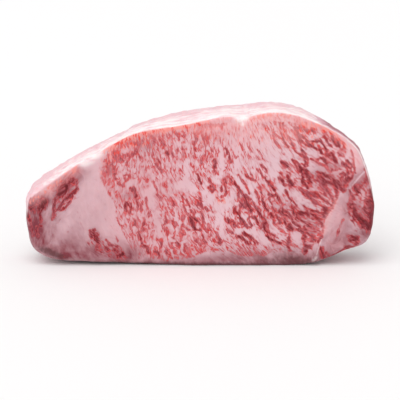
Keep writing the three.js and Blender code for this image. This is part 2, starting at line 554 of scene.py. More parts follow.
        through = (depth / self.thickness)[:, None]
        flat = mix(front, back, through)
        swell = mix(self.swell_below, self.swell_on_top, np.clip(flat[:, 1] * 2.0 / self.height, 0.0, 1.0))
        swell = swell + self.wall_unevenness * self.unevenness(flat[:, 0], depth, flat[:, 1])
        start, end, left = self.swell_fade
        fade = mix(1.0, left, smoothstep(start, end, flat[:, 0]))
        out = fade * np.sin(math.pi * share) * swell - inset
        place = flat[:, :2] + self.front.outward(t) * out[:, None]
        return np.stack([place[:, 0], depth, place[:, 1]], -1)

    def _nearest(self, rim: Rim, x: Array, z: Array) -> tuple[Array, Array]:
        """How far each point lies from a rim, and the edge radius there.

        Args:
            rim: The rim to measure to.
            x: Places along the steak, in mm.
            z: Heights, in mm.

        Returns:
            The distances and the radii, in mm.
        """
        line = rim.at(np.linspace(0.0, 1.0, RIM_SAMPLES, endpoint=False))
        distance, edge = np.empty(len(x)), np.empty(len(x))
        for part in np.array_split(np.arange(len(x)), max(1, len(x) // POINTS_AT_ONCE)):
            gap = np.hypot(x[part, None] - line[:, 0], z[part, None] - line[:, 1])
            best = gap.argmin(1)
            distance[part] = gap[np.arange(len(part)), best]
            edge[part] = line[best, 2]
        return distance, edge

    def _face(self, sides: dict[str, Array], share: float) -> tuple[Array, Array]:
        """One cut face: the Coons patch between its four sides, rounded towards the rim.

        Args:
            sides: Rim parameters of the sides: top and bottom left to right, left and right upwards.
            share: 0 for the front face and 1 for the back one.

        Returns:
            The grid of points, rows upwards, and how far each lies from the rim.
        """
        top, bottom, left, right = (self.wall(sides[k], share) for k in ("top", "bottom", "left", "right"))
        u = np.linspace(0.0, 1.0, len(top))[None, :, None]
        v = np.linspace(0.0, 1.0, len(left))[:, None, None]
        grid = (1 - v) * bottom[None] + v * top[None] + (1 - u) * left[:, None] + u * right[:, None]
        grid -= (1 - u) * (1 - v) * bottom[0] + u * (1 - v) * bottom[-1]
        grid -= (1 - u) * v * top[0] + u * v * top[-1]
        flat = grid[1:-1, 1:-1].reshape(-1, 3)
        rim = self.back if share else self.front
        gap, edge = self._nearest(rim, flat[:, 0], flat[:, 2])
        level = np.clip(1.0 - gap / edge, 0.0, 1.0)
        rounding = edge * (1.0 - np.sqrt(1.0 - level * level))
        flat[:, 1] = self.thickness - rounding if share else rounding
        grid[1:-1, 1:-1] = flat.reshape(grid[1:-1, 1:-1].shape)
        inside = np.zeros(grid.shape[:2])
        inside[1:-1, 1:-1] = gap.reshape(inside[1:-1, 1:-1].shape)
        return grid, inside

    def seam_distance(self, x: Array, z: Array) -> Array:
        """How far each point lies from the seam between the eye and the chine muscle."""
        return np.hypot(x[:, None] - self.seam_line[:, 0], z[:, None] - self.seam_line[:, 1]).min(1)

    def _relief(self, x: Array, z: Array) -> Array:
        """How far a cut face stands out: the sum of its bulges, less the groove of the seam."""
        rise = sum(b.weight * b.at(x, z) for b in self.bulges)
        return rise - self.seam_depth * bell(self.seam_distance(x, z) / self.seam_half_width)

    def build(self) -> Skin:
        """Joins the front grid, the rings of the wall and the back grid into one closed skin.

        Returns:
            The surface, rounded and with the relief of its cut faces.
        """
        sides = {
            "top": self._walk("tail corner", "chine corner", self.columns),
            "right": self._walk("chine corner", "chine foot", self.rows)[::-1],
            "bottom": self._walk("chine foot", "tail foot", self.columns)[::-1],
            "left": self._walk("tail foot", "tail corner", self.rows),
        }
        coarse = {name: t[::2] for name, t in sides.items()}
        fine_loop, coarse_loop = (self._loop(s) for s in (sides, coarse))

        front, front_inside = self._face(sides, 0.0)
        back, back_inside = self._face(coarse, 1.0)
        fronts = [self.wall(fine_loop, share) for share in self.front_rings]
        backs = [self.wall(coarse_loop, share) for share in self.back_rings]
        parts = [front.reshape(-1, 3), *fronts, *backs, back.reshape(-1, 3)]
        shares = [0.0, *self.front_rings, *self.back_rings, 1.0]
        ring_t = [fine_loop] * len(fronts) + [coarse_loop] * len(backs)
        starts = np.cumsum([0] + [len(p) for p in parts])

        front_index = starts[0] + np.arange(front[..., 0].size).reshape(front.shape[:2])
        back_index = starts[-2] + np.arange(back[..., 0].size).reshape(back.shape[:2])
        rings = [self._border(front_index)]
        rings += [starts[i + 1] + np.arange(len(t)) for i, t in enumerate(ring_t)]
        rings += [self._border(back_index)]

        quads = [self._grid_faces(front_index), self._grid_faces(back_index)[:, ::-1]]
        joints = []
        for near, far in zip(rings, rings[1:]):
            if len(near) == len(far):
                quads.append(np.stack([near, np.roll(near, -1), np.roll(far, -1), far], -1))
            else:
                middle, end = near[1::2], np.roll(near[::2], -1)
                joints.append(np.stack([near[::2], middle, end, np.roll(far, -1), far], -1))

        share = np.concatenate([np.full(len(p), s) for p, s in zip(parts, shares)])
        t = np.concatenate([np.zeros(len(parts[0])), *ring_t, np.zeros(len(parts[-1]))])
        t[rings[0]], t[rings[-1]] = fine_loop, coarse_loop
        on_wall = [np.zeros(len(ring)) for ring in ring_t]
        inside = np.concatenate([front_inside.ravel(), *on_wall, back_inside.ravel()])
        points = np.concatenate(parts)
        wall = np.zeros(len(points), bool)
        wall[np.concatenate(rings)] = True
        self._shape_faces(points, share)
        return Skin(points, share, t, inside, np.concatenate(quads), np.concatenate(joints), wall)

    @staticmethod
    def _loop(sides: dict[str, Array]) -> Array:
        """The rim parameters once round, clockwise from the foot of the left side.

        Args:
            sides: Rim parameters of the four sides.

        Returns:
            The parameters in order.
        """
        upper = [sides["left"][:-1], sides["top"][:-1]]
        lower = [sides["right"][:0:-1], sides["bottom"][:0:-1]]
        return np.concatenate(upper + lower)

    @staticmethod
    def _border(index: Array) -> Array:
        """The border vertices of a grid of indices, in the order of a loop."""
        return np.concatenate([index[:-1, 0], index[-1, :-1], index[:0:-1, -1], index[0, :0:-1]])

    @staticmethod
    def _grid_faces(index: Array) -> Array:
        """The quads of a grid of indices, seen from the front."""
        corners = [index[:-1, :-1], index[:-1, 1:], index[1:, 1:], index[1:, :-1]]
        return np.stack(corners, -1).reshape(-1, 4)

    def _shape_faces(self, points: Array, share: Array) -> None:
        """Adds the cut faces' relief, which fades out through the thickness, and flattens the foot.

        Args:
            points: The surface's points, which are moved.
            share: Their shares of the way through.
        """
        x, z = points[:, 0], points[:, 2]
        waves = self.unevenness(x, self.face_wave_depth * share, z)
        relief = self._relief(x, z) + self.face_unevenness * waves
        points[:, 1] += relief * (2.0 * share - 1.0)
        points[:, 1] -= self.tag.weight * self.tag.at(x, z) * (1.0 - share)
        points[:, 2] = np.maximum(points[:, 2], 0.0)


# ---- lean, fat and fibres -----------------------------------------------------------------------


@dataclass(frozen=True)
class Muscle:
    """A muscle on the cut face.

    outline holds x, z, x, z in mm, level is how lean it is, softness is half the width of its border, and
    dark is how much darker its lean is. tilt is how its fibres lean in degrees from upright; those of the
    eye follow FibreFlow instead.
    """

    outline: tuple[float, ...]
    level: float
    softness: float
    tilt: float = 0.0
    dark: float = 0.0

    def depth(self, x: Array, z: Array) -> Array:
        """How deep each point lies inside the outline, negative outside it.

        Args:
            x: Places along the steak, in mm.
            z: Heights, in mm.

        Returns:
            Depths in mm.
        """
        starts = np.array(self.outline).reshape(-1, 2)
        ends = np.roll(starts, -1, 0)
        gap = gap_to_lines(x, z, starts, ends)
        crosses = (starts[:, 1] > z[:, None]) != (ends[:, 1] > z[:, None])
        run, rise = (ends - starts).T
        slant = run / np.where(rise == 0.0, math.inf, rise)
        left_of = x[:, None] - starts[:, 0] < slant * (z[:, None] - starts[:, 1])
        return np.where((crosses & left_of).sum(1) % 2 == 1, gap, -gap)

    def cover(self, x: Array, z: Array) -> Array:
        """1 inside the outline and 0 outside it, with a soft border."""
        return smoothstep(-self.softness, self.softness, self.depth(x, z))


@dataclass
class FibreFlow:
    """The direction of the fibres of the eye, and coordinates that follow them.

    The lean in degrees runs through stops_lean at stops_x. It grows by more_below from the reference
    height to the foot, and each wave adds its degrees times the sine of its x and z rates plus its phase.
    """

    stops_x: tuple[float, ...] = (-60.0, -20.0, 20.0, 55.0, 90.0)
    stops_lean: tuple[float, ...] = (7.0, 13.0, 22.0, 36.0, 50.0)
    more_below: float = 9.0
    reference_z: float = 45.0
    waves: tuple[Wave, ...] = ((7.0, 0.09, 0.05, 0.0), (5.0, 0.05, -0.13, 1.0))
    steps: int = 24

    def lean(self, x: Array, z: Array) -> Array:
        """The fibres' lean at each point, in radians from upright, to the right at the bottom.

        Args:
            x: Places along the steak, in mm.
            z: Heights, in mm.

        Returns:
            Angles in radians.
        """
        base = np.interp(x, self.stops_x, self.stops_lean)
        wobble = sum(size * np.sin(a * x + b * z + phase) for size, a, b, phase in self.waves)
        return np.radians(base + self.more_below * (self.reference_z - z) / self.reference_z + wobble)

    def coordinates(self, x: Array, z: Array) -> tuple[Array, Array]:
        """Follows each point's fibre to the reference height in small steps.

        Args:
            x: Places along the steak.
            z: Heights.

        Returns:
            Where the fibre crosses the reference height, and the length walked along it.
        """
        step = (self.reference_z - z) / self.steps
        at, height, length = x.copy(), z.copy(), np.zeros_like(x)
        for _ in range(self.steps):
            half = at - np.tan(self.lean(at, height)) * step / 2.0
            slope = np.tan(self.lean(half, height + step / 2.0))
            at = at - slope * step
            height = height + step
            length = length + step * np.hypot(1.0, slope)
        return at, length


# The marks that give this steak its look, in mm; the finer marbling between them is made by rule.
# fmt: off
# Strands of lean in the eye, from the shoulder beside the tail to the chine side.
SHOULDER = strands(
    (1.2, 0.2, -49, 67.5, -47, 68, -47, 65, -48.5, 64.5, -48, 62),
    (1.6, 0.4, -38, 66, -36.5, 67.5, -36, 69.5), (1.8, 0.3, -36.5, 72.5, -35.5, 72),
    (1.1, 0.1, -30.5, 77, -27.5, 77, -26, 75.5, -26, 73), (1.5, 0.4, -41.5, 66.5, -40, 64.5, -41.5, 62),
    (1.7, 0.6, -45.5, 63.5, -44, 62), (1.3, 0.5, -34.5, 65, -33, 62),
    (1.5, 0.6, -25.5, 63.5, -24, 62.5, -23, 61), (1.3, 0.5, -25.5, 60.5, -24, 58.5, -22, 55.5),
    (1.3, 0.4, -54.5, 62, -53, 60.5, -53, 58), (1.4, 0.5, -51, 60.5, -49.5, 59, -49, 56.5),
    (2.2, 0.7, -48.5, 54.5, -48.5, 52),
    (1, 0.4, -43.5, 54, -42, 54.5, -41, 53.5, -41.5, 51, -42.5, 50.5, -43.5, 52.5),
    (1.9, 0.8, -40, 46.5, -39, 45, -38, 46.5, -37.5, 44, -36.5, 41.5), (1.4, 0.1, -46.5, 49, -44.5, 48),
    (1.5, 0.1, -31.5, 52.5, -30.5, 50.5), (1.2, 0.3, -27, 50.5, -25, 45.5),
    (1.4, 0.5, -23, 74.5, -20.5, 71.5, -21.5, 70), (2.2, 0.9, -19, 67.5, -18.5, 66.5),
    (1.2, 0.5, -16.5, 71, -16.5, 68, -15.5, 65), (1.7, 0.2, -14.5, 79, -12.5, 77.5, -12.5, 75),
    (1.6, 0.2, -9, 79, -9, 77), (1.3, 0.5, -11, 73, -9.5, 67, -8.5, 64.5, -9, 63),
    (1.3, 0.6, -3, 78, -3, 76.5, -2, 75, -3.5, 73, -3, 70, -3.5, 65),
    (1.1, 0.3, 0.5, 79, 1.5, 75.5, 3, 71), (1.6, 0.3, 0.5, 65, 1, 63.5, 0.5, 62),
    (1.9, 0.6, 8, 62.5, 9, 61.5, 8, 59), (1.7, 0.1, -5.5, 61, -4.5, 59.5),
    (1.1, 1, -2, 55, -0.5, 51.5, 0.5, 49), (1.3, 0.1, 7, 56.5, 8.5, 55.5, 10, 54.5, 10, 56.5),
    (1.4, 0.5, 5, 52.5, 5, 50.5, 6.5, 49.5, 7, 48), (1.4, 0.7, 14, 70, 15, 68.5, 16, 65, 17.5, 61.5),
    (2, 0.2, -1.5, 84, -0.5, 82.5, 2.5, 83.5, 8.5, 83, 14, 84),
)
BELLY_SIDE = strands(
    (1.7, 0.7, -42.5, 37.5, -43.5, 34.5, -43, 33),
    (1.9, 0.8, -41.5, 36.5, -40, 37, -39.5, 34.5, -40, 32.5),
    (0.9, 0.3, -48, 29, -46.5, 25.5, -45, 23, -44, 18.5), (1.3, 0.6, -37.5, 27, -37, 25.5, -38, 24.5),
    (1.4, 0.5, -36.5, 39.5, -36, 37.5, -35.5, 34.5), (1.6, 0.2, -33, 38.5, -34, 36, -34, 33.5),
    (1.1, 0.3, -31, 41, -30.5, 35.5, -29.5, 31.5, -28.5, 30.5, -29.5, 29.5),
    (1.7, 0.5, -32.5, 25.5, -33, 23, -33.5, 21), (1.6, 0.7, -35, 20.5, -34.5, 16, -33, 12),
    (1.9, 0.8, -33, 12, -31.5, 11.5, -30.5, 10, -30, 8),
    (1.2, 0.4, -24.5, 16, -23, 14, -22, 12, -23, 11), (1.6, 0.6, -26, 9, -24.5, 8, -23.5, 6, -24, 5),
    (1.5, 0.7, -20, 9, -19, 7, -16.5, 4.5), (1.5, 0.3, -25, 42.5, -23.5, 41, -22.5, 40.5),
    (1.2, 0.4, -20, 32, -19.5, 27, -21, 24.5), (2, 0.1, -19.5, 23, -19.5, 21.5, -18.5, 18.5),
    (1.6, 0.4, -17.5, 40, -16, 38.5, -15.5, 36), (1.6, 0.6, -16, 27, -16, 25, -14.5, 23.5),
    (1.4, 0.6, -15, 20.5, -15.5, 16.5),
)
MIDDLE = strands(
    (1.3, 0.4, -11, 23.5, -11.5, 20.5, -10, 19), (1.2, 0.3, -10, 25, -9, 23.5, -8, 22, -6.5, 21.5),
    (1.1, 0.5, -10.5, 42, -9.5, 37, -8.5, 33, -6, 30.5),
    (1.2, 0.7, -8, 39.5, -6, 35.5, -4.5, 31.5, -2, 27),
    (1, 0.3, -3, 39, -3, 37.5, -1.5, 36.5, -1, 37.5, -2, 39.5),
    (1.2, 0.5, -0.5, 40.5, 0.5, 38.5, 0.5, 37), (1.8, 0.5, 0, 36.5, 1.5, 35, 3, 35, 4, 33.5),
    (1.4, 0.6, 0.5, 32.5, 1.5, 30.5, 1.5, 27, 2, 24), (2.6, 1, -5.5, 29, -5, 27.5, -4, 24),
    (2.2, 0.7, -4, 24, -3, 22, -1, 21.5), (1.6, 0.1, 1, 24.5, 2.5, 23, 4, 21),
    (1.6, 0.5, 5, 47.5, 5.5, 45.5, 6.5, 44, 7.5, 45, 8, 46.5, 7, 47.5),
    (1.2, 0.4, 5.5, 36.5, 6, 35, 7, 32), (1.2, 0.4, 4.5, 25.5, 6, 21.5, 6, 18),
    (1.2, 0.7, 1, 18.5, 2.5, 15.5, 3, 14),
    (1.2, 0.4, 9, 21, 10.5, 17, 13, 15, 12, 14, 10.5, 14, 11, 15.5),
    (1.3, 0.7, -16, 14, -13.5, 14, -12, 13), (1.5, 0.6, 12, 47.5, 12, 44.5),
    (1.3, 0.1, 9.5, 41, 10, 39.5, 12, 38.5, 13, 39.5),
    (1.4, 0.2, 12, 41.5, 14, 42, 16, 44.5, 16.5, 41.5), (1.5, 0.5, 14, 51.5, 14.5, 47.5, 14.5, 43.5),
    (1.6, 0.7, 15.5, 53.5, 17, 52, 18, 48.5), (2, 0.8, 15, 28, 16, 26),
    (1.2, 0.3, 16.5, 28, 19.5, 26, 19, 21, 18.5, 19.5, 17, 20.5, 15.5, 22),
)
CROWN = strands(
    (1.2, 0.1, 22, 73, 23.5, 71, 24, 69), (1.3, 0.5, 19.5, 66, 20, 64, 21, 65),
    (0.9, 0.2, 27, 71, 30, 66.5, 33.5, 63), (1, 0.2, 32.5, 69.5, 35.5, 64),
    (1.5, 0.1, 33.5, 76, 33.5, 73), (1.4, 0.1, 35, 84, 36.5, 83, 37.5, 80.5),
    (1.2, 0.2, 38.5, 79.5, 42, 74, 47.5, 66.5), (1.5, 0.2, 41, 80, 42.5, 75.5, 44.5, 71),
    (1.2, 0.4, 44.5, 84.5, 45.5, 80, 47.5, 74.5, 50, 70.5),
    (1.1, 0.3, 47, 84.5, 47, 80.5, 49.5, 77, 52, 73), (1.4, 0.6, 52, 72.5, 53, 70.5, 56.5, 66),
    (1.8, 0.7, 53, 81.5, 55, 78, 56.5, 75, 57.5, 74), (2.6, 0.4, 56.5, 83.5, 58, 81.5, 61, 80, 64, 81),
    (1.7, 0.3, 21.5, 54, 23.5, 51, 26, 48, 28, 43.5), (1.6, 0.5, 26.5, 54.5, 27.5, 52.5, 31, 51),
    (1.4, 0.3, 35, 60, 37.5, 57.5, 37.5, 56), (1.3, 0.4, 32.5, 57.5, 35.5, 53.5, 39, 51),
    (1.4, 0.7, 46, 62, 47, 61.5, 49.5, 59.5), (2, 0.7, 45, 52.5, 46.5, 51.5, 48, 48),
)
HEART = strands(
    (1.5, 0.7, 37.5, 51.5, 39.5, 49, 42.5, 45.5), (1.3, 0.5, 43, 43, 46, 38.5, 47.5, 36.5),
    (1.4, 0.6, 31, 45.5, 33, 41, 34, 37), (1.3, 0.6, 34.5, 44, 35.5, 39, 37.5, 34.5, 39, 33),
    (1.8, 0.6, 39, 43, 42, 42), (1.3, 0.5, 39, 40.5, 40.5, 37.5, 42.5, 32),
    (2.3, 0.7, 19.5, 49.5, 22, 46, 26, 39.5, 28, 35.5, 29, 33.5),
    (1.5, 0.4, 22, 44, 21.5, 39.5, 23, 38.5, 22.5, 33),
    (1.7, 0.4, 24, 40, 25, 37.5, 24, 36.5, 25, 35, 29, 33),
    (1.4, 0.5, 26, 42.5, 29, 39.5, 31, 36.5, 33, 33), (1.6, 0.8, 32.5, 34, 34.5, 29.5, 36, 28.5),
    (2.4, 0.9, 19.5, 34.5, 20, 32.5, 21.5, 31.5, 22, 30),
    (2, 0.8, 22, 29.5, 23.5, 28.5, 24.5, 27, 25, 25.5),
    (1.5, 0.5, 25, 25.5, 27.5, 23, 29, 23, 29.5, 24.5, 28, 26),
    (1.2, 0.1, 21, 24, 21.5, 25.5, 23.5, 25.5, 25, 24, 23.5, 23, 21.5, 23, 21, 24),
    (1.5, 0.7, 27.5, 28, 28, 29.5, 29.5, 29.5, 32, 28, 33, 25.5),
    (2.2, 0.8, 36, 28.5, 37, 27, 36.5, 23, 37.5, 21.5),
    (1.5, 0.7, 37.5, 21, 39.5, 17, 40.5, 15.5, 42, 15.5, 46.5, 13.5),
    (1.3, 0.7, 39, 20.5, 40.5, 19.5, 44.5, 16.5), (2, 0.9, 40.5, 31, 41.5, 29.5),
    (1.3, 0.4, 40.5, 29, 42.5, 25.5, 45.5, 23), (2.6, 0.9, 44, 33, 46, 32.5, 47.5, 31.5),
    (1.3, 0.5, 46.5, 34.5, 50, 32, 52.5, 29), (1.8, 0.8, 43.5, 30.5, 44.5, 28.5, 45.5, 26),
    (1.2, 0.6, 48, 28.5, 48.5, 26, 50.5, 22), (2, 0.8, 21.5, 17.5, 23, 17.5, 24.5, 16, 28, 13.5),
    (2, 0.8, 25, 20, 26.5, 18.5, 28.5, 18, 30.5, 15, 32.5, 13.5),
)
CHINE_SIDE = strands(
    (1.5, 0.6, 58, 76.5, 59.5, 75, 60.5, 73.5, 63.5, 71),
    (1.3, 0.9, 60, 72, 61.5, 71, 63.5, 70.5, 68.5, 68.5, 68.5, 67),
    (1.3, 0.6, 64, 74, 66, 73.5, 68, 74, 70.5, 71, 72, 68), (1.5, 0.6, 70, 76.5, 72.5, 72.5, 74.5, 71),
    (1.7, 0.7, 74.5, 76.5, 76.5, 72, 77.5, 71, 79, 72, 78.5, 73.5), (1.6, 0.2, 81, 73, 82, 72, 81.5, 70),
    (1.7, 0.8, 72, 66, 74, 66, 75, 67.5, 76, 66.5), (1.6, 0.9, 75, 66, 75.5, 64, 77.5, 61.5),
    (1.6, 0.9, 67, 63.5, 68.5, 64, 70, 63, 72, 61), (1.1, 0.3, 62.5, 64, 66, 61.5, 70, 59.5),
    (1.2, 0.2, 70.5, 60, 71.5, 58, 74.5, 56, 75.5, 57, 80.5, 57.5),
    (1.2, 0.3, 85.5, 69, 87, 65, 87.5, 60.5, 88, 57.5),
    (1.6, 0.5, 80.5, 61.5, 84, 58.5, 84.5, 56, 83.5, 54), (1.5, 0.5, 84, 62.5, 86.5, 59.5, 86, 58),
    (1.6, 0.6, 87.5, 57.5, 88, 55, 86, 51.5, 84.5, 51), (2.4, 0.9, 84, 52, 82.5, 48.5, 83.5, 47.5),
    (2, 0.9, 66.5, 56.5, 70, 54.5, 71, 53, 72.5, 53.5, 76, 51, 77, 48.5),
    (2.6, 0.7, 68, 53.5, 70, 51.5, 71, 50, 75, 49.5), (2.5, 0.9, 78.5, 50, 80.5, 47, 82.5, 45),
    (1.5, 0.7, 80, 54.5, 81, 55.5, 82.5, 54, 79.5, 52, 82.5, 49.5), (1.9, 0.6, 77.5, 48.5, 78, 41),
    (1.3, 0.4, 57.5, 68.5, 59, 64.5, 60, 62.5, 59, 58.5),
    (1.1, 0.2, 57.5, 68.5, 59, 68, 61, 64.5, 61, 59.5), (1.3, 0.4, 52, 63.5, 54.5, 59.5, 56.5, 56),
    (1.4, 0.7, 53, 63, 56.5, 59.5, 60.5, 55), (2.8, 1, 60, 56.5, 61, 55, 62, 53, 62.5, 50.5),
    (1.8, 0.8, 57, 57.5, 58.5, 53.5, 58.5, 50, 61, 46.5), (1.9, 0.8, 49.5, 53.5, 50.5, 51.5, 52.5, 48.5),
    (1.4, 0.5, 64, 53, 65, 51, 68, 50.5, 70, 46.5), (2.4, 0.3, 57, 46, 60.5, 43, 62, 41.5, 66, 36.5),
    (2.6, 0.3, 61, 43, 63.5, 43, 66.5, 41.5), (1.4, 0.6, 65.5, 44, 66.5, 43.5, 70, 40, 73.5, 37.5),
    (1.8, 0.3, 69.5, 49, 71.5, 44.5, 71.5, 42.5),
    (1.4, 0.5, 72, 46, 75.5, 40.5, 76.5, 38, 75, 36, 76, 34.5),
)
LOWER_RIGHT = strands(
    (2.6, 0.8, 70.5, 34, 72, 33, 71.5, 32), (1.6, 0.7, 59, 36, 63, 33.5, 67, 32.5, 70.5, 30.5, 71, 29.5),
    (2.2, 0.9, 52, 35.5, 53, 34.5, 53.5, 33.5, 54.5, 32, 60, 31.5),
    (1.3, 0.7, 48.5, 45.5, 50, 41.5, 53.5, 38, 55, 36.5), (1.4, 0.6, 60, 32, 64.5, 28),
    (1.4, 0.6, 64.5, 30.5, 68, 28, 70, 25.5, 70, 23.5), (1.6, 0.4, 48, 31, 51.5, 29.5, 52.5, 28),
    (2.4, 0.9, 51, 24.5, 52.5, 22), (1.5, 0.7, 53, 26.5, 56, 24, 57.5, 23),
    (2, 0.7, 56, 22, 59, 20.5, 60.5, 17.5, 59, 16.5), (1.5, 0.6, 55, 29, 59, 26.5, 62.5, 25, 61.5, 24),
    (1.5, 0.6, 59.5, 24, 59, 22.5, 62, 19.5, 66, 15.5),
    (1.3, 0.4, 63.5, 23.5, 66, 21, 67.5, 21.5, 70, 18.5, 68, 14.5),
    (2.2, 0.3, 51, 15, 50.5, 12, 51.5, 9.5), (1.8, 0.7, 59.5, 15, 60, 13, 62.5, 11),
    (3, 0.8, 60.5, 11, 60.5, 8.5),
)
# Strands of lean in the smaller muscles.
TAIL = strands(
    (5, 1, -88.5, 39, -90, 37.5, -92, 34.5), (2.4, 0.9, -91.5, 36, -94.5, 36, -97, 34),
    (2.2, 0.6, -92, 34, -91.5, 24), (1.8, 0.5, -94.5, 24, -93.5, 18), (3.2, 0.6, -100, 33, -99, 29),
    (1.6, 0.2, -98, 28, -96, 18), (2.2, 1, -81.5, 6, -78.5, 5.6),
    (1.4, 0.6, -83, 40.5, -84, 35, -85, 27.5), (1.3, 0.6, -81.5, 33.5, -79.5, 37, -77.5, 40),
    (1.4, 0.5, -80, 33.5, -77.5, 35, -74.5, 38.5), (2.2, 0.8, -76.5, 40.5, -75, 41, -70.5, 45.5),
    (1.2, 0.3, -70.5, 45.5, -70.5, 50), (2.8, 1, -81, 42.5, -78, 44, -76.5, 45.5, -77, 47.5),
    (1.7, 0.7, -77.5, 48.5, -80.5, 46.5, -81, 44.5), (1.7, 0.7, -76.5, 48, -73.5, 50.5, -72.5, 51.5),
    (1.7, 0.4, -80.5, 49.5, -78, 49.5, -74.5, 52),
)
BELLY = strands(
    (1.3, 0.4, -63.5, 21.5, -62.5, 16.5), (1.7, 0.7, -61, 22, -61, 19, -59, 14.5),
    (1.3, 0.5, -59.5, 20, -58.5, 18.5), (2, 0.6, -64.5, 15, -64, 13.5),
    (1.6, 0.6, -60.5, 10, -58.5, 9, -55.5, 8), (1.8, 0.7, -54.5, 10.5, -53.5, 9.5),
    (1.6, 0.5, -54.5, 15.5, -52, 12.5, -48, 11.5), (1.3, 0.3, -49, 18.5, -47.5, 14.5),
    (2.2, 0.8, -49.5, 9, -48, 8.5), (2.8, 1, -46.5, 6, -45, 7),
)
CHINE = strands(
    (2, 0.4, 88, 48.5, 85.5, 45, 85.5, 42.5, 87.5, 40), (1.9, 0.6, 94.5, 51, 91.5, 47.5, 89.5, 43.5),
    (2.4, 0.4, 94, 57.5, 95, 54.5, 96, 51.5), (3, 0.5, 98, 43, 97.5, 39), (5, 0.5, 99, 42, 99.5, 31),
    (3, 0.5, 98, 30, 98, 22), (1.5, 0.6, 86, 36.5, 88, 37, 91.5, 35.5),
    (1.7, 0.8, 85.5, 35, 88, 34.5, 90, 31, 91, 29.5, 93.5, 26.5),
    (1.3, 0.7, 87.5, 33, 89.5, 29, 91.5, 26, 94, 23.5), (1.4, 0.9, 88, 46.5, 90.5, 44),
    (1.6, 0.4, 89, 21.8, 90, 21), (1.5, 0.6, 85, 32, 87, 28.5, 93, 23), (1.6, 0.6, 93, 34.5, 96, 29.5),
    (2.6, 0.7, 94.5, 26.5, 97, 22), (1.4, 0.6, 86.5, 15, 90, 16, 91, 17.5, 87, 17.5),
    (1.6, 0.7, 76, 6, 82.5, 9.5, 90, 12.5), (2.6, 1, 83, 10.5, 86, 12), (1.1, 0.3, 82.2, 28, 81.6, 27),
    (1.2, 0.3, 79.4, 20.8, 78.6, 18), (1.8, 0.7, 69.6, 10.5, 69.6, 9, 71.5, 5),
    (1.4, 0.3, 72.5, 8, 74.5, 5.6),
    (1.2, 0.1, 79, 42.5, 76, 35.5, 73, 31.5, 71.2, 27.5, 70.6, 22.5, 70, 17),
)
# Channels of fat that part the strands.
CHANNELS = strands(
    (3.6, 0, -29, 44.5, -27.5, 34.5), (3, 0, -25.5, 31.5, -24.5, 23, -23, 18.5),
    (3.4, 0, -45, 58.5, -43.5, 56.5), (2.4, 0, -41, 49, -37.5, 50.5), (2.6, 0, -13, 72, -7, 71.5),
    (3.2, 0, -7.5, 63, -8.5, 56.5, -8, 51), (4, 0, -12.5, 47, -8.5, 50.5, -3.5, 45),
    (2.6, 0, 3, 48, 3, 44), (3, 0, 12, 67, 11.5, 54), (3.4, 0, 20, 72, 20.5, 62, 21.5, 58),
    (6, 0, 6, 39, 7.5, 41), (8, 0, 10, 35, 14, 36, 17, 39), (4.4, 0, 10, 30.5, 11.5, 25),
    (3, 0, 11.5, 25, 12, 20, 14, 17.5), (3.2, 0, 8, 51.5, 9.5, 50), (2.4, 0, 20, 52.5, 25.5, 45),
    (3.6, 0, 28, 47, 30.5, 40), (8, 0, 36.5, 73, 42.5, 68), (5, 0, 35.5, 70.5, 42, 63.5, 42.5, 55.5),
    (4.6, 0, 43.5, 66, 53, 66), (3.4, 0, 46.5, 47.5, 46, 44), (2.6, 0, 23.5, 31, 26, 29, 26.5, 26),
    (2.6, 0, 30, 27, 30.5, 21.5), (3.6, 0, 20.5, 21, 30.5, 20.5, 35, 18, 38, 14),
    (3.6, 0, 40.5, 26, 43, 21), (3.4, 0, 45, 17.5, 48, 17), (4.4, 0, 55.5, 43, 57.5, 36),
    (2.6, 0, 60.5, 39, 65, 34.5), (4, 0, 55, 19, 57, 13), (4, 0, 55, 9.5, 47.5, 10.5),
    (4, 0, 62.5, 67.5, 65.5, 67), (3.4, 0, 62.5, 60, 64.5, 57.5, 69.5, 58), (2.6, 0, 55, 72.5, 55.5, 70),
    (2.6, 0, 62.5, 76, 66.5, 77), (2.4, 0, 79.5, 62, 83.5, 65, 84, 67),
    (2, 0, 72, 55.5, 78.5, 55.5, 81, 57.5), (2.4, 0, 98.5, 49, 93, 44, 92.5, 37),
    (3.4, 0, 92.5, 50, 90.5, 44, 90.5, 39.5), (3, 0, 88.5, 24, 94, 20.5),
    (1.8, 0, 88, 38.5, 91.5, 35.5, 95.5, 30, 97, 27), (1.2, 0, 90.5, 42.6, 96.5, 48),
    (1.2, 0, 84.5, 31, 88.5, 27, 92, 21.5), (3, 0, 83.5, 23, 86.5, 24.5), (2, 0, -76, 43.5, -72.5, 46.5),
)
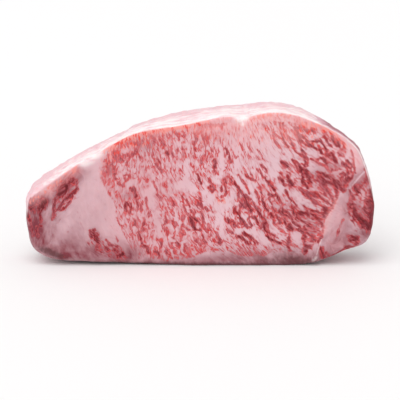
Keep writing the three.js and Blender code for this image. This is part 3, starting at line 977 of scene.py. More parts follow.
# Dusky places on fat and lean; along the foot and towards the two ends they are painted shade.
STAINS_AND_SHADE = strands(
    (8, 0.25, -33.5, 72, -29.5, 71), (5, 0.3, -52.5, 55.5, -51.5, 58.5),
    (4, 0.2, -43.5, 41.5, -38.5, 42.5), (5, 0.3, 72.5, 59, 78, 59.5), (10, 0.3, 66, 53, 72, 52, 80, 50),
    (12, 0.2, 46, 34, 56, 31, 66, 27), (5, 0.5, 79, 47.5, 82.5, 50.5), (4, 0.3, 71.5, 45, 72, 42.5),
    (5, 0.3, 66, 25, 64, 20), (5, 0.3, 23.5, 41.5, 27.5, 35.5), (5, 0.4, 36, 27, 37, 23),
    (8, 0.7, -80.5, 41.5, -75, 48.5), (10, 0.5, -80.5, 38.5, -84, 30), (7, 0.4, -71.5, 50, -67, 56),
    (8, 0.9, -89, 38, -92, 34), (13, 0.5, -87, 22, -85, 14), (9, 0.7, -80, 6, -66, 7),
    (15, 0.86, -96, 33, -95, 23, -93, 15), (8, 0.4, -88.5, 37.5, -86, 28.5), (13, 0.6, -95, 14, -84, 9),
    (17, 0.5, -88, 12, -66.5, 8), (14, 0.65, -64, 8, -52, 8, -41, 6), (6, 0.6, -60, 3, -42, 3),
    (6, 0.35, -61, 20, -58.5, 16), (10, 0.5, 89, 48.5, 95, 52.5),
    (12, 0.35, 97.5, 48, 99, 34.5, 97.5, 20), (13, 0.6, 87, 34.5, 93, 27),
    (7, 0.4, 85.5, 43.5, 86, 38.5), (12, 0.45, 84, 24, 78, 14, 74, 8),
    (4, 0.35, 71, 15.5, 75, 20, 80, 25), (5, 0.5, 74, 7, 80, 10), (12, 0.65, 85, 15, 94, 19),
    (9, 0.5, 72, 6, 82, 7.5, 92, 10.5), (9, 0.6, -30, 0.5, 10, 1.5), (13, 0.6, 12, 2, 40, 3, 68, 3.5),
)
# Coral tints on the rim and the seam.
BLUSHES = strands(
    (7, 0.8, 22, 84, 31, 87.5, 42, 88.5, 52, 87, 60, 84.5), (8, 0.6, -2, 81.5, 10, 83, 20, 82.5),
    (14, 0.45, 26, 80, 40, 81, 52, 80), (5, 0.5, -50, 71.5, -38, 77, -15, 81.5, 0, 84.5, 10, 87, 17, 87),
    (6, 0.6, -95, 39.5, -85, 46.5), (4, 0.5, -81, 50, -76, 54, -70.5, 57.5),
    (5, 0.5, 60, 84.5, 72, 81, 80, 76), (3, 0.5, 78, 39, 73.5, 29.5, 71, 20), (7, 0.5, 87, 71, 90.5, 62),
)
# Spots of bright coral, most of them just under the rim, where they are painted glow of light through the
# thin fat.
CORAL_AND_GLOW_SPOTS = strands(
    (3.5, 0.8, -77, 55, -71, 58.5), (3, 0.5, -98, 38, -91, 43, -80, 51),
    (5, 1, -54, 68, -46, 74, -40, 76.5), (7, 0.5, -53, 63, -46, 70, -36, 73),
    (5, 0.3, -56, 55, -55, 62, -51, 68), (8, 0.3, -46, 70, -30, 76, -12, 79),
    (3.5, 0.7, 58, 83.5, 66, 81.5, 74, 78.5), (3, 0.6, 76, 77, 84, 71),
    (3, 0.6, 8.5, 42, 10, 39, 13, 39),
)
# Thin red hazes over fat.
HAZES = strands(
    (50, 0.22, -36, 58, -33, 20), (26, 0.2, -20, 74, 15, 76), (12, 0.3, -48, 66, -38, 71, -20, 75),
    (5.5, 0.75, -82, 48, -76.5, 52.5, -70.5, 56), (5, 0.5, -94, 38, -84, 45), (12, 0.28, 94, 50, 92, 38),
    (10, 0.25, 84, 38, 80, 28, 78, 18), (9, 0.45, -46, 75.5, -30, 79, -12, 81),
    (5, 0.6, 56, 85, 65, 83, 73, 80), (6, 0.6, -18, 81, -8, 82.5, 8, 83), (4, 0.5, -50, 74, -42, 78),
    (8, 0.4, 93, 55, 91, 50), (8, 0.3, 76, 13, 84, 16), (8, 0.5, -53, 62, -53, 52),
    (8, 0.5, 0, 79, 12, 79), (12, 0.2, 50, 30, 60, 24, 66, 22), (10, 0.35, 72, 60, 79, 54),
)
# Places of pale fat; the long line along the left rim is partly a painted highlight on the rim.
PALES = strands(
    (8, 0.8, 23.5, 90.5, 23.5, 89), (3.5, 0.42, 23.7, 87.5, 24, 84), (0.9, 0.34, 69.5, 16, 67, 7),
    (2.6, 0.4, 66.5, 5, 65, 3.5), (3, 0.7, -97, 42.5, -84, 52.5, -75, 58.5, -65, 65.5, -55, 72.5),
    (7, 0.5, -66.5, 61, -58, 67),
)
# fmt: on


@dataclass
class Marbling:
    """Where lean and fat lie, as smooth fields over the steak's surface."""

    fat_level: float = -1.5
    eye: Muscle = Muscle(
        (
            -28, 4, -37.5, 4.5, -42, 13, -43.9, 18.9, -45.3, 24.4, -47.9, 29, -50.5, 39, -54.2, 44.9,
            -57, 52.6, -55.7, 62.1, -52.1, 69.7, -47.2, 74.6, -36.4, 79.9, -8.5, 84, 6, 84.6, 16, 84,
            23.5, 81.5, 29, 84.5, 42, 86.5, 52, 85.5, 63, 81.8, 73.5, 80, 80.5, 75, 82, 71.4, 85.1, 68.5,
            87.4, 65.5, 88.1, 60, 88.3, 55.3, 85.7, 49.6, 83.9, 45.1, 82.1, 43.5, 78.8, 42.9, 76.6, 35.8,
            74, 32.7, 71.1, 28.2, 71.1, 22.9, 70.3, 17.6, 68.8, 14.7, 63.2, 11, 60, 7, 54, 6, 47, 8,
            41, 7.5, 36, 5.5, 22, 6, 18, 8, 10, 9, 2, 8, -5, 5, -12, 4, -20, 2.5,
        ),
        level=-0.09, softness=0.9,
    )  # fmt: skip
    # Their dark is partly their own deeper red and partly painted shade, as they lie near the ends and the
    # foot.
    others: tuple[Muscle, ...] = (
        # tail muscle
        Muscle(
            (
                -69.4, 51.6, -69.8, 45.2, -72.7, 38.4, -76.8, 33.7, -81, 32, -83.6, 28, -85, 29,
                -84.8, 36.5, -83.4, 42.2, -81.9, 48.3, -78.6, 52, -74, 54.4,
            ),
            level=0.2, softness=1.6, tilt=-36.0, dark=0.3,
        ),
        # tail end muscle
        Muscle(
            (
                -98.2, 36, -94.7, 40.6, -88.4, 41.2, -87.8, 35.5, -90.1, 24.2, -90.7, 16.5, -94.7, 14.4,
                -104.2, 15, -104.2, 34.7,
            ),
            level=-0.65, softness=2.4, tilt=-8.0, dark=0.4,
        ),
        # belly muscle
        Muscle(
            (
                -63.6, 21.9, -61, 23.5, -58.4, 20, -57, 16, -52, 14, -47, 13, -43.5, 10.5, -40.5, 5,
                -42, 2, -50, 3.5, -57, 7, -61.5, 11.5, -64.5, 17,
            ),
            level=-0.15, softness=1.4, tilt=38.0, dark=0.35,
        ),
        # chine muscle
        Muscle(
            (
                96.1, 56.3, 92.6, 52.4, 87.5, 47.3, 84.6, 41.4, 83.7, 34.6, 84.5, 30, 87, 25.5, 90.5, 21,
                94, 19, 99, 19, 105, 30, 105, 42, 102, 56,
            ),
            level=0.2, softness=1.2, tilt=40.0, dark=0.25,
        ),
        # lower chine muscle
        Muscle(
            (
                83.5, 18.5, 87, 19.2, 91.5, 17, 92.5, 13.5, 88, 12.4, 84.5, 14.5,
            ),
            level=0.4, softness=1.0, tilt=60.0, dark=0.5,
        ),
        # strands beside the seam
        Muscle(
            (
                83.2, 30, 81, 28.5, 77.8, 22, 76.2, 15.5, 78.6, 16.5, 81, 23,
            ),
            level=-0.3, softness=1.2, tilt=-20.0, dark=0.1,
        ),
        # foot of the seam
        Muscle(
            (
                68, 13, 71.5, 12, 74, 7, 72, 3, 68, 3,
            ),
            level=0.1, softness=1.6, tilt=10.0, dark=0.45,
        ),
    )  # fmt: skip
    regions: tuple[Patch, ...] = rows_of(
        Patch,
        # painted shade: wide tints that darken and dusk the lean towards the ends and the foot and lighten
        # it at the top and middle; then the lean shoulder and the lean chine end
        (-20, 45, 60, 34, 0, 0, 0, -0.14), (-32, 40, 44, 20, 0, -0.08, 0.07), (-50, 66, 9, 6, 35, 0.3),
        (-55, 55, 13, 3.5, 8, 0.4), (-38, 74.5, 5, 16, 15, 0.3), (-15, 77, 9, 40, 0, 0, 0, -0.25),
        (62, 42, 44, 24, 0, 0.06, 0.1, 0.1), (10, 6, 12, 50, 0, 0, 0.1),
        (99.5, 35, 15, 5, 0, 0.5, 0, 0.3), (-70, 26, 28, 16, -20, 0, 0.25),
        # leaner places
        (28, 29, 4, 4, 0, 0.4), (61, 9, 5, 6, 0, 0.6), (-6, 10, 6, 8, 10, 0.4), (9, 8, 4, 8, 0, 0.55),
        (28, 7, 4, 8, 0, 0.4), (-3, 82, 3, 7, 0, 0.35), (44, 25, 4, 4, 30, 0.35),
        (54, 77, 5, 4, 30, 0.35), (-44, 76, 3, 6, 40, 0.3),
        # fatter places
        (34, 81, 6, 14, 0, -0.45), (12, 80, 6, 12, 0, -0.35), (23, 71, 13, 7, 10, -0.3),
        (-56, 63, 6, 4, 30, -0.6), (33, 64, 8, 4, 20, -0.5), (18, 50, 5, 4, 0, -0.5),
        (5, 50, 5, 6, 0, -0.35), (-29, 45, 5, 4, 0, -0.4), (-18, 24, 6, 4, 10, -0.35),
        (-13, 14, 5, 4, 0, -0.35), (13, 13, 4, 5, 0, -0.35), (36, 13, 3, 6, 0, -0.4),
        (66, 53, 5, 7, 0, -0.3), (65, 29, 5, 4, 30, -0.3), (28, 50, 6, 4, 30, -0.35),
        (40, 57, 7, 4, 30, -0.35), (44, 40, 5, 4, 30, -0.35), (54, 29, 5, 4, 40, -0.3),
        (-8, 40, 6, 4, 15, -0.3), (-39, 8, 4, 5, 0, -0.5),
    )  # fmt: skip
    strands: tuple[Strand, ...] = (
        *SHOULDER, *BELLY_SIDE, *MIDDLE, *CROWN, *HEART, *CHINE_SIDE, *LOWER_RIGHT, *TAIL, *BELLY, *CHINE,
    )  # fmt: skip
    channels: tuple[Strand, ...] = CHANNELS
    stains: tuple[Strand, ...] = STAINS_AND_SHADE
    blushes: tuple[Strand, ...] = BLUSHES
    pales: tuple[Strand, ...] = PALES
    hazes: tuple[Strand, ...] = HAZES
    embers: tuple[Strand, ...] = CORAL_AND_GLOW_SPOTS
    strand_rise: float = 1.2
    strand_floor: float = -0.35
    channel_fall: float = 0.9
    grain_margin: float = 2.0
    flow: FibreFlow = field(default_factory=FibreFlow)

    @staticmethod
    def _strongest(marks: tuple[Strand, ...], x: Array, z: Array) -> Array:
        """The depth of the strongest mark at each point.

        Args:
            marks: The marks to choose from.
            x: Places along the steak, in mm.
            z: Heights, in mm.

        Returns:
            Values from 0 to 1.
        """
        depth = np.zeros(len(x))
        for mark in marks:
            depth = np.maximum(depth, mark.dark * mark.at(x, z))
        return depth

    def tones(self, x: Array, z: Array) -> Array:
        """Rows of how lean the meat is at each point of a cut face, how dark its lean is, and how dusky.

        The level of the muscle there, or of fat between muscles, plus the regions, plus the strongest
        strand, less the strongest channel. Near the ends and the foot, the darker lean of the muscles and
        regions and the dusky marks are painted shade.

        Args:
            x: Places along the steak, in mm.
            z: Heights, in mm.

        Returns:
            Rows of lean, dark and dusky, the last two partly painted shade.
        """
        muscles = (self.eye, *self.others)
        covers = [m.cover(x, z) for m in muscles]
        lean = np.full(len(x), self.fat_level)
        strand, dark, deep, channel = (np.zeros(len(x)) for _ in range(4))
        for muscle, cover in zip(muscles, covers):
            lean = mix(lean, muscle.level, cover)
            deep += muscle.dark * cover
        for mark in self.strands:
            strength = mark.at(x, z)
            strand = np.maximum(strand, strength)
            dark = np.maximum(dark, mark.dark * np.sqrt(strength))
        for mark in self.channels:
            channel = np.maximum(channel, mark.at(x, z))
        dark = dark + deep
        lean = mix(lean, np.maximum(lean, self.strand_floor), strand)
        # Dusky marks, with painted shade along the foot and towards the ends.
        stain = self._strongest(self.stains, x, z)
        for region in self.regions:
            strength = region.at(x, z)
            lean = lean + region.weight * strength
            stain = stain + region.stain * strength
            dark = dark + region.dark * strength
        return np.stack([lean + self.strand_rise * strand - self.channel_fall * channel, dark, stain], -1)

    def ember(self, x: Array, z: Array) -> Array:
        """How strongly the marked coral spots, partly painted glow under the rim, colour a cut face at
        each point.
        """
        return self._strongest(self.embers, x, z)

    def washes(self, x: Array, z: Array) -> Array:
        """Rows of how coral, how pale and how hazy a cut face is at each point."""
        kinds = (self.blushes, self.pales, self.hazes)
        return np.stack([self._strongest(marks, x, z) for marks in kinds], -1)

    def grain(self, x: Array, y: Array, z: Array) -> Array:
        """Coordinates in mm that follow the fibres: across them, along them, and into the steak.

        Args:
            x: Places along the steak, in mm.
            y: Depths from the front face, in mm.
            z: Heights, in mm.

        Returns:
            Rows of three lengths in mm.
        """
        across, along = self.flow.coordinates(x, z)
        for muscle in self.others:
            inside = muscle.depth(x, z) > -self.grain_margin * muscle.softness
            angle = math.radians(muscle.tilt)
            across = np.where(inside, x * math.cos(angle) + z * math.sin(angle), across)
            along = np.where(inside, x * math.sin(angle) - z * math.cos(angle), along)
        return np.stack([across, along, y], -1)


# ---- shader building blocks ---------------------------------------------------------------------


def linear(red: float, green: float, blue: float) -> Rgba:
    """A colour given in screen values from 0 to 255, as the linear RGBA that a node takes."""
    parts = (c / 255.0 for c in (red, green, blue))
    return (*(c / 12.92 if c <= 0.04045 else ((c + 0.055) / 1.055) ** 2.4 for c in parts), 1.0)


class SocketValue:
    """A shader socket that takes part in Python expressions; each operation adds a Math node."""

    def __init__(self, shader: Shader, socket: bpy.types.NodeSocket) -> None:
        """Wraps a socket of a shader's node tree."""
        self.shader = shader
        self.socket = socket

    def _math(self, operation: str, *values: SocketValue | float) -> SocketValue:
        """Adds one Math node with these values."""
        return self.shader.add("ShaderNodeMath", {"operation": operation}, dict(enumerate(values)))

    def __add__(self, other: SocketValue | float) -> SocketValue:
        """self + other."""
        return self._math("ADD", self, other)

    __radd__ = __add__

    def __sub__(self, other: SocketValue | float) -> SocketValue:
        """self - other."""
        return self._math("SUBTRACT", self, other)

    def __rsub__(self, other: float) -> SocketValue:
        """other - self."""
        return self._math("SUBTRACT", other, self)

    def __mul__(self, other: SocketValue | float) -> SocketValue:
        """self * other."""
        return self._math("MULTIPLY", self, other)

    __rmul__ = __mul__

    def size(self) -> SocketValue:
        """The value without its sign."""
        return self._math("ABSOLUTE", self)

    def rise(self, low: float, high: float) -> SocketValue:
        """0 up to low, 1 from high, and a smooth rise between them; a fall where low is the larger.

        Args:
            low: Where it is 0.
            high: Where it is 1.

        Returns:
            The risen value.
        """
        limits = {"From Min": low, "From Max": high, "To Min": 0.0, "To Max": 1.0}
        settings = {"interpolation_type": "SMOOTHSTEP"}
        return self.shader.add("ShaderNodeMapRange", settings, {"Value": self, **limits})

    def between(self, at_zero: float, at_one: float) -> SocketValue:
        """at_zero where the value is 0, at_one where it is 1, and on a straight line between them."""
        return self * (at_one - at_zero) + at_zero


class Shader:
    """A material's node tree, built by one method for any node and a few short cuts."""

    def __init__(self, name: str) -> None:
        """Makes an empty material of that name.

        Args:
            name: The material's name.
        """
        self.material = bpy.data.materials.new(name)
        self.material.use_nodes = True
        self.tree = self.material.node_tree
        self.tree.nodes.clear()

    def add(
        self,
        kind: str,
        settings: dict[str, object],
        sockets: dict[object, object],
        output: object = 0,
    ) -> SocketValue:
        """Adds a node.

        Args:
            kind: The node's type.
            settings: Its properties, set first; stops is a colour ramp's list of position and colour.
            sockets: Values or links of its inputs, by name or number.
            output: Which output to return, by name or number.

        Returns:
            The output as a value for expressions.
        """
        node = self.tree.nodes.new(kind)
        for name, value in settings.items():
            if name == "stops":
                self._set_stops(node.color_ramp, value)
            else:
                setattr(node, name, value)
        for name, value in sockets.items():
            if isinstance(value, SocketValue):
                self.tree.links.new(value.socket, node.inputs[name])
            else:
                node.inputs[name].default_value = value
        return SocketValue(self, node.outputs[output])

    @staticmethod
    def _set_stops(ramp: bpy.types.ColorRamp, stops: Stops) -> None:
        """Gives a colour ramp its stops, in order of position.

        Args:
            ramp: The node's ramp.
            stops: Positions and colours.
        """
        while len(ramp.elements) < len(stops):
            ramp.elements.new(1.0)
        for element, (position, colour) in zip(ramp.elements, stops):
            element.position = position
            element.color = colour

    def attribute(self, name: str) -> SocketValue:
        """Reads a vector attribute of the mesh."""
        return self.add("ShaderNodeAttribute", {"attribute_name": name}, {}, "Vector")

    def split(self, vector: SocketValue) -> list[SocketValue]:
        """The three parts of a vector."""
        node = self.add("ShaderNodeSeparateXYZ", {}, {0: vector}).socket.node
        return [SocketValue(self, node.outputs[i]) for i in range(3)]

    def vector(self, operation: str, first: object, second: object) -> SocketValue:
        """Adds one Vector Math node with these two vectors."""
        return self.add("ShaderNodeVectorMath", {"operation": operation}, {0: first, 1: second})

    def noise(self, place: SocketValue, cells: Triple, detail: float, output: object = 0) -> SocketValue:
        """Smooth noise about 0.5 over a place, with cells of these sizes in the place's own unit.

        Args:
            place: The coordinates.
            cells: The cells' three sizes.
            detail: How many finer layers are added.
            output: The noise's output: 0 for one value, Color for three.

        Returns:
            The noise.
        """
        stretched = self.vector("MULTIPLY", place, tuple(1.0 / c for c in cells))
        sockets = {"Vector": stretched, "Scale": 1.0, "Detail": detail}
        return self.add("ShaderNodeTexNoise", {"noise_dimensions": "3D"}, sockets, output)

    def ramp(self, value: SocketValue, stops: Stops) -> SocketValue:
        """Turns a value from 0 to 1 into a colour."""
        return self.add("ShaderNodeValToRGB", {"stops": stops}, {0: value})

    def blend(self, share: SocketValue, first: object, second: object) -> SocketValue:
        """Mixes two colours by a share; of a Mix node's many sockets, these are the ones for colours."""
        return self.add("ShaderNodeMix", {"data_type": "RGBA"}, {0: share, 6: first, 7: second}, 2)

    def finish(self, constants: dict[str, object], linked: dict[str, SocketValue]) -> bpy.types.Material:
        """Ends the tree in a Principled shader and the output, and returns the material.

        Args:
            constants: Sockets with one value all over.
            linked: Sockets that change over the surface.

        Returns:
            The material.
        """
        shader = self.add("ShaderNodeBsdfPrincipled", {}, {**constants, **linked})
        output = self.tree.nodes.new("ShaderNodeOutputMaterial")
        self.tree.links.new(shader.socket, output.inputs["Surface"])
        return self.material


# ---- finishes -----------------------------------------------------------------------------------


class Follows(Enum):
    """What a pattern's cells line up with."""

    CURLS = "the curled fibres"
    FIBRES = "the straight fibres"
    SIDES = "the steak's length, thickness and height"


@dataclass(frozen=True)
class Pattern:
    """Noise from about -0.5 to 0.5, with cells of these sizes in mm.

    With the fibres, they are the sizes across them, along them and into the steak. A pattern that has a
    fade gives lines instead: 1 where the noise is within full of 0, down to 0 where it is fade from 0.
    """

    cells: Triple
    detail: float = 1.0
    follows: Follows = Follows.CURLS
    fade: float = 0.0
    full: float = 0.0


@dataclass(frozen=True)
class Patterns:
    """The patterns of the meat; each name is also a weight in Mottle where it is mixed with others."""

    fleck: Pattern = Pattern((1.7, 5.0, 8.0), 2.0)
    chain: Pattern = Pattern((5.0, 13.0, 20.0))
    thread: Pattern = Pattern((0.8, 2.8, 5.0))
    weave: Pattern = Pattern((2.0, 7.0, 10.0), fade=0.09)
    fat_thread: Pattern = Pattern((2.0, 8.0, 10.0), fade=0.1)
    light_thread: Pattern = Pattern((1.1, 6.0, 8.0), fade=0.08)
    fibril: Pattern = Pattern((1.5, 4.2, 6.0), 2.0, fade=0.11, full=0.03)
    hue: Pattern = Pattern((1.8, 4.0, 6.0), 2.0)
    cloud: Pattern = Pattern((9.0, 12.0, 12.0), 3.0, Follows.FIBRES)
    pores: Pattern = Pattern((0.5, 0.9, 0.7), 3.0, Follows.FIBRES)
    fine_cloud: Pattern = Pattern((1.3, 1.3, 3.0), 2.0, Follows.SIDES)
    streak: Pattern = Pattern((14.0, 2.2, 2.2), 3.0, Follows.SIDES)


@dataclass(frozen=True)
class Mottle:
    """A base, the weight of each pattern that is added to it, and the span over which the sum rises."""

    base: float = 0.0
    span: Span = (0.0, 1.0)
    fleck: float = 0.0
    chain: float = 0.0
    thread: float = 0.0
    weave: float = 0.0
    fat_thread: float = 0.0
    cloud: float = 0.0
    fine_cloud: float = 0.0
    streak: float = 0.0


@dataclass(frozen=True)
class MeatFinish:
    """Raw beef: pink fat, wavy red strands of lean with dusky middles, and the fat cap.

    A value of about 0.5 at a place is half way between fat and lean, and two ramps give its colour, for
    light lean and for dark lean. Spans are the limits between which a part comes in. Of a pair of shares,
    the first holds in light lean or in fat, and the second in dark lean or in lean, as the name tells.
    """

    patterns: Patterns = Patterns()
    curl: Pattern = Pattern((3.0, 5.0, 10.0), 2.0, Follows.FIBRES)
    curl_reach: float = 3.2

    value: Mottle = Mottle(0.491, fleck=0.76, chain=0.32, thread=0.34, weave=0.14, fat_thread=-0.18)
    lean_weight: float = 0.26
    lean_span: Span = (0.46, 0.62)
    depth: Mottle = Mottle(span=(0.1, 1.0), chain=1.0, thread=1.2)
    light_meat: Stops = (
        (0.26, linear(225, 189, 196)),
        (0.40, linear(217, 169, 176)),
        (0.48, linear(211, 145, 151)),
        (0.54, linear(206, 111, 116)),
        (0.62, linear(191, 90, 98)),
        (0.80, linear(174, 80, 90)),
    )
    dark_meat: Stops = (
        (0.26, linear(220, 183, 190)),
        (0.40, linear(206, 154, 162)),
        (0.48, linear(190, 115, 123)),
        (0.54, linear(174, 83, 91)),
        (0.62, linear(144, 50, 60)),
        (0.80, linear(96, 14, 24)),
    )

    vein: Rgba = linear(220, 76, 74)
    vein_rise: Span = (0.5, 0.55)
    vein_fall: Span = (0.65, 0.57)
    vein_share: float = 0.8
    vivid: Rgba = linear(212, 58, 56)
    vivid_span: Span = (0.01, 0.15)
    vivid_light_dark: Span = (0.85, 0.35)
    dusky: Rgba = linear(166, 92, 105)
    dusky_span: Span = (-0.01, -0.15)
    dusky_light_dark: Span = (0.25, 0.6)
    darkest_span: Span = (0.7, 1.0)
    dusky_loss: float = 0.4
    stain_dulls: float = 0.12
    haze: Rgba = linear(208, 108, 112)
    haze_mottle: Mottle = Mottle(1.0, fleck=1.0)
    fibril: Rgba = linear(132, 30, 41)
    fibril_span: Span = (0.5, 0.62)
    fibril_light_dark: Span = (0.28, 0.83)
    sinew: Rgba = linear(212, 140, 147)
    sinew_light_dark: Span = (0.5, 0.15)
    core: Rgba = linear(90, 8, 18)
    core_mottle: Mottle = Mottle(span=(1.05, 1.4), chain=1.0)
    core_share: float = 0.8

    blush_fat: Rgba = linear(241, 182, 182)
    blush_lean: Rgba = linear(226, 124, 124)
    blush_tone: Mottle = Mottle(0.3, (0.0, 0.9), fleck=2.0, thread=1.0)
    blush_mottle: Mottle = Mottle(0.95, cloud=1.2, fleck=0.8)
    # Dusky colour of stained places, also used as painted shade along the foot and towards the ends.
    stain: Rgba = linear(134, 60, 70)
    stain_mottle: Mottle = Mottle(1.1, cloud=1.6, fleck=0.8)
    stain_fat_lean: Span = (1.0, 0.1)
    # Painted glow: warm coral where light shines through the thin fat under the rim, also on the coral
    # spots.
    ember_fat: Rgba = linear(238, 146, 138)
    ember_lean: Rgba = linear(226, 80, 72)
    ember_mottle: Mottle = Mottle(span=(0.35, 0.85), cloud=0.9, fine_cloud=2.8)
    ember_edge: Span = (0.0, 0.2)
    ember_fat_lean: Span = (0.75, 0.95)

    cap_white: Rgba = linear(250, 236, 236)
    cap_pink: Rgba = linear(234, 190, 197)
    cap_tone: Mottle = Mottle(0.15, (0.05, 0.9), streak=1.7, cloud=0.8)
    across_weight: float = 0.8
    strip: Rgba = linear(156, 64, 78)
    strip_mottle: Mottle = Mottle(streak=1.1, fine_cloud=0.5)
    strip_edge: Span = (0.0, 0.3)
    strip_span: Span = (0.6, 1.0)
    strip_tone: Mottle = Mottle(0.2, streak=2.2, fine_cloud=2.0, cloud=1.0)
    mauve: Rgba = linear(218, 164, 176)
    mauve_span: Span = (0.2, 0.6)

    pale_mottle: Mottle = Mottle(1.0, cloud=1.0)
    pale_span: Span = (0.1, 0.6)
    # Silverskin at the top of the seam, painted whiter as a highlight.
    silver: Rgba = linear(240, 218, 226)
    # Painted shade: the foot darkens towards this brown where the steak meets the floor.
    foot_brown: Rgba = linear(98, 58, 61)
    foot_mottle: Mottle = Mottle(span=(0.1, 0.9), cloud=0.8, fine_cloud=0.8)
    foot_share: float = 0.8

    pore_height: float = 0.4
    lean_sinks: float = 0.5
    bump_strength: float = 0.35
    bump_distance: float = 0.0004
    rough_fat_lean: Span = (0.46, 0.36)
    pore_roughness: float = 0.2
    subsurface: float = 0.15
    subsurface_radius: Triple = (1.0, 0.35, 0.25)
    subsurface_scale: float = 0.001
    specular: float = 0.15

    def build(self) -> bpy.types.Material:
        """Makes the material."""
        return MeatShader(self).build()


class MeatShader:
    """Draws a meat finish from the mesh's attributes, layer upon layer."""

    def __init__(self, finish: MeatFinish) -> None:
        """Reads the attributes, and works out the patterns and where the meat is lean and how dark.

        Args:
            finish: The finish to draw.
        """
        s = Shader("marbled beef")
        self.shader, self.finish = s, finish
        self.lean, self.dark, self.stain = s.split(s.attribute("meat"))
        self.cap, self.foot, self.silver = s.split(s.attribute("skin"))
        self.ember, self.across, self.strip = s.split(s.attribute("rim"))
        self.blush, self.pale, self.haze = s.split(s.attribute("wash"))
        self.noise = self._noises()
        self.value = self._sum(finish.value, self.lean * finish.lean_weight)
        self.is_lean = self.value.rise(*finish.lean_span)
        self.depth = self._tone(finish.depth, self.dark)

    def _noises(self) -> dict[str, SocketValue]:
        """The finish's patterns by name; a first noise curls the fibres that most of them follow.

        Returns:
            A value from -0.5 to 0.5 for each pattern, and from 0 to 1 for lines.
        """
        s, f = self.shader, self.finish
        fibres = s.attribute("grain")
        curl = s.noise(fibres, f.curl.cells, f.curl.detail, "Color")
        curl = s.vector("SUBTRACT", curl, (0.5, 0.5, 0.5))
        curl = s.vector("MULTIPLY", curl, (f.curl_reach, f.curl_reach, f.curl_reach))
        places = {
            Follows.CURLS: s.vector("ADD", fibres, curl),
            Follows.FIBRES: fibres,
            Follows.SIDES: s.attribute("sides"),
        }
        noises = {}
        for name, pattern in vars(f.patterns).items():
            noise = s.noise(places[pattern.follows], pattern.cells, pattern.detail) - 0.5
            noises[name] = noise.size().rise(pattern.fade, pattern.full) if pattern.fade else noise
        return noises

    def _sum(self, mottle: Mottle, other: SocketValue | float = 0.0) -> SocketValue:
        """A mottle's base and weighted patterns, plus one other value.

        Args:
            mottle: The base and the weights.
            other: What is added to them.

        Returns:
            The sum.
        """
        total = other + mottle.base if mottle.base else other
        for name, noise in self.noise.items():
            weight = getattr(mottle, name, 0.0)
            if weight:
                total = noise * weight + total
        return total

    def _tone(self, mottle: Mottle, other: SocketValue | float = 0.0) -> SocketValue:
        """The same sum, rising from 0 to 1 over the mottle's span."""
        return self._sum(mottle, other).rise(*mottle.span)

    def _marbled(self) -> SocketValue:
        """Lean and fat, with veins at their border, vivid, dusky and hazy places, and dark cores.

        Returns:
            A colour.
        """
        s, f, noise = self.shader, self.finish, self.noise
        value, depth, is_lean = self.value, self.depth, self.is_lean
        meat = s.blend(depth, s.ramp(value, f.light_meat), s.ramp(value, f.dark_meat))
        vein = value.rise(*f.vein_rise) * value.rise(*f.vein_fall) * f.vein_share
        meat = s.blend(vein, meat, f.vein)
        hue = noise["hue"] - self.stain * f.stain_dulls
        vivid = hue.rise(*f.vivid_span) * depth.between(*f.vivid_light_dark)
        meat = s.blend(vivid * is_lean, meat, f.vivid)
        dusky_share = depth.between(*f.dusky_light_dark) - depth.rise(*f.darkest_span) * f.dusky_loss
        meat = s.blend(hue.rise(*f.dusky_span) * dusky_share * is_lean, meat, f.dusky)
        meat = s.blend(self.haze * self._sum(f.haze_mottle), meat, f.haze)
        fibril = noise["fibril"] * value.rise(*f.fibril_span) * depth.between(*f.fibril_light_dark)
        meat = s.blend(fibril, meat, f.fibril)
        sinew = noise["light_thread"] * is_lean * depth.between(*f.sinew_light_dark)
        meat = s.blend(sinew, meat, f.sinew)
        core = self._tone(f.core_mottle, self.dark) * is_lean * f.core_share
        return s.blend(core, meat, f.core)

    def _tinted(self, meat: SocketValue) -> SocketValue:
        """The meat under its coral blush, its dusky stained places and painted shade, and the bright coral
        spots with the painted glow under the rim.

        Args:
            meat: The marbled colour.

        Returns:
            A colour.
        """
        s, f = self.shader, self.finish
        blush_colour = s.blend(self._tone(f.blush_tone), f.blush_fat, f.blush_lean)
        meat = s.blend(self.blush * self._sum(f.blush_mottle), meat, blush_colour)
        # Dusky stained places, with painted shade along the foot and towards the ends.
        stain = self.stain * self._sum(f.stain_mottle) * self.is_lean.between(*f.stain_fat_lean)
        meat = s.blend(stain, meat, f.stain)
        # Painted glow under the rim, over the coral spots.
        ember = self._tone(f.ember_mottle, self.ember) * self.ember.rise(*f.ember_edge)
        coral_glow_colour = s.blend(self.is_lean, f.ember_fat, f.ember_lean)
        return s.blend(ember * self.is_lean.between(*f.ember_fat_lean), meat, coral_glow_colour)

    def _cap_colour(self) -> SocketValue:
        """White to pink fat in streaks along the cap, and the strip of lean on its right end.

        Returns:
            A colour.
        """
        s, f = self.shader, self.finish
        tone = self._tone(f.cap_tone, self.across * f.across_weight)
        colour = s.blend(tone, f.cap_white, f.cap_pink)
        strip = self._sum(f.strip_mottle, self.strip) * self.strip.rise(*f.strip_edge)
        colour = s.blend(strip.rise(*f.mauve_span), colour, f.mauve)
        strip_colour = s.blend(self._tone(f.strip_tone), f.strip, f.mauve)
        return s.blend(strip.rise(*f.strip_span), colour, strip_colour)

    def build(self) -> bpy.types.Material:
        """Lays the cap, pale fat, the silverskin's painted highlight and the foot's painted shade over the
        meat, and adds the fine surface.

        Returns:
            The material.
        """
        s, f = self.shader, self.finish
        cap_colour = self._cap_colour()
        colour = s.blend(self.cap, self._tinted(self._marbled()), cap_colour)
        pale = (self.pale * self._sum(f.pale_mottle)).rise(*f.pale_span)
        colour = s.blend(pale, colour, cap_colour)
        # Silverskin with a painted highlight.
        colour = s.blend(self.silver, colour, f.silver)
        # Painted shade along the foot.
        foot = self._tone(f.foot_mottle, self.foot) * f.foot_share
        colour = s.blend(foot, colour, f.foot_brown)

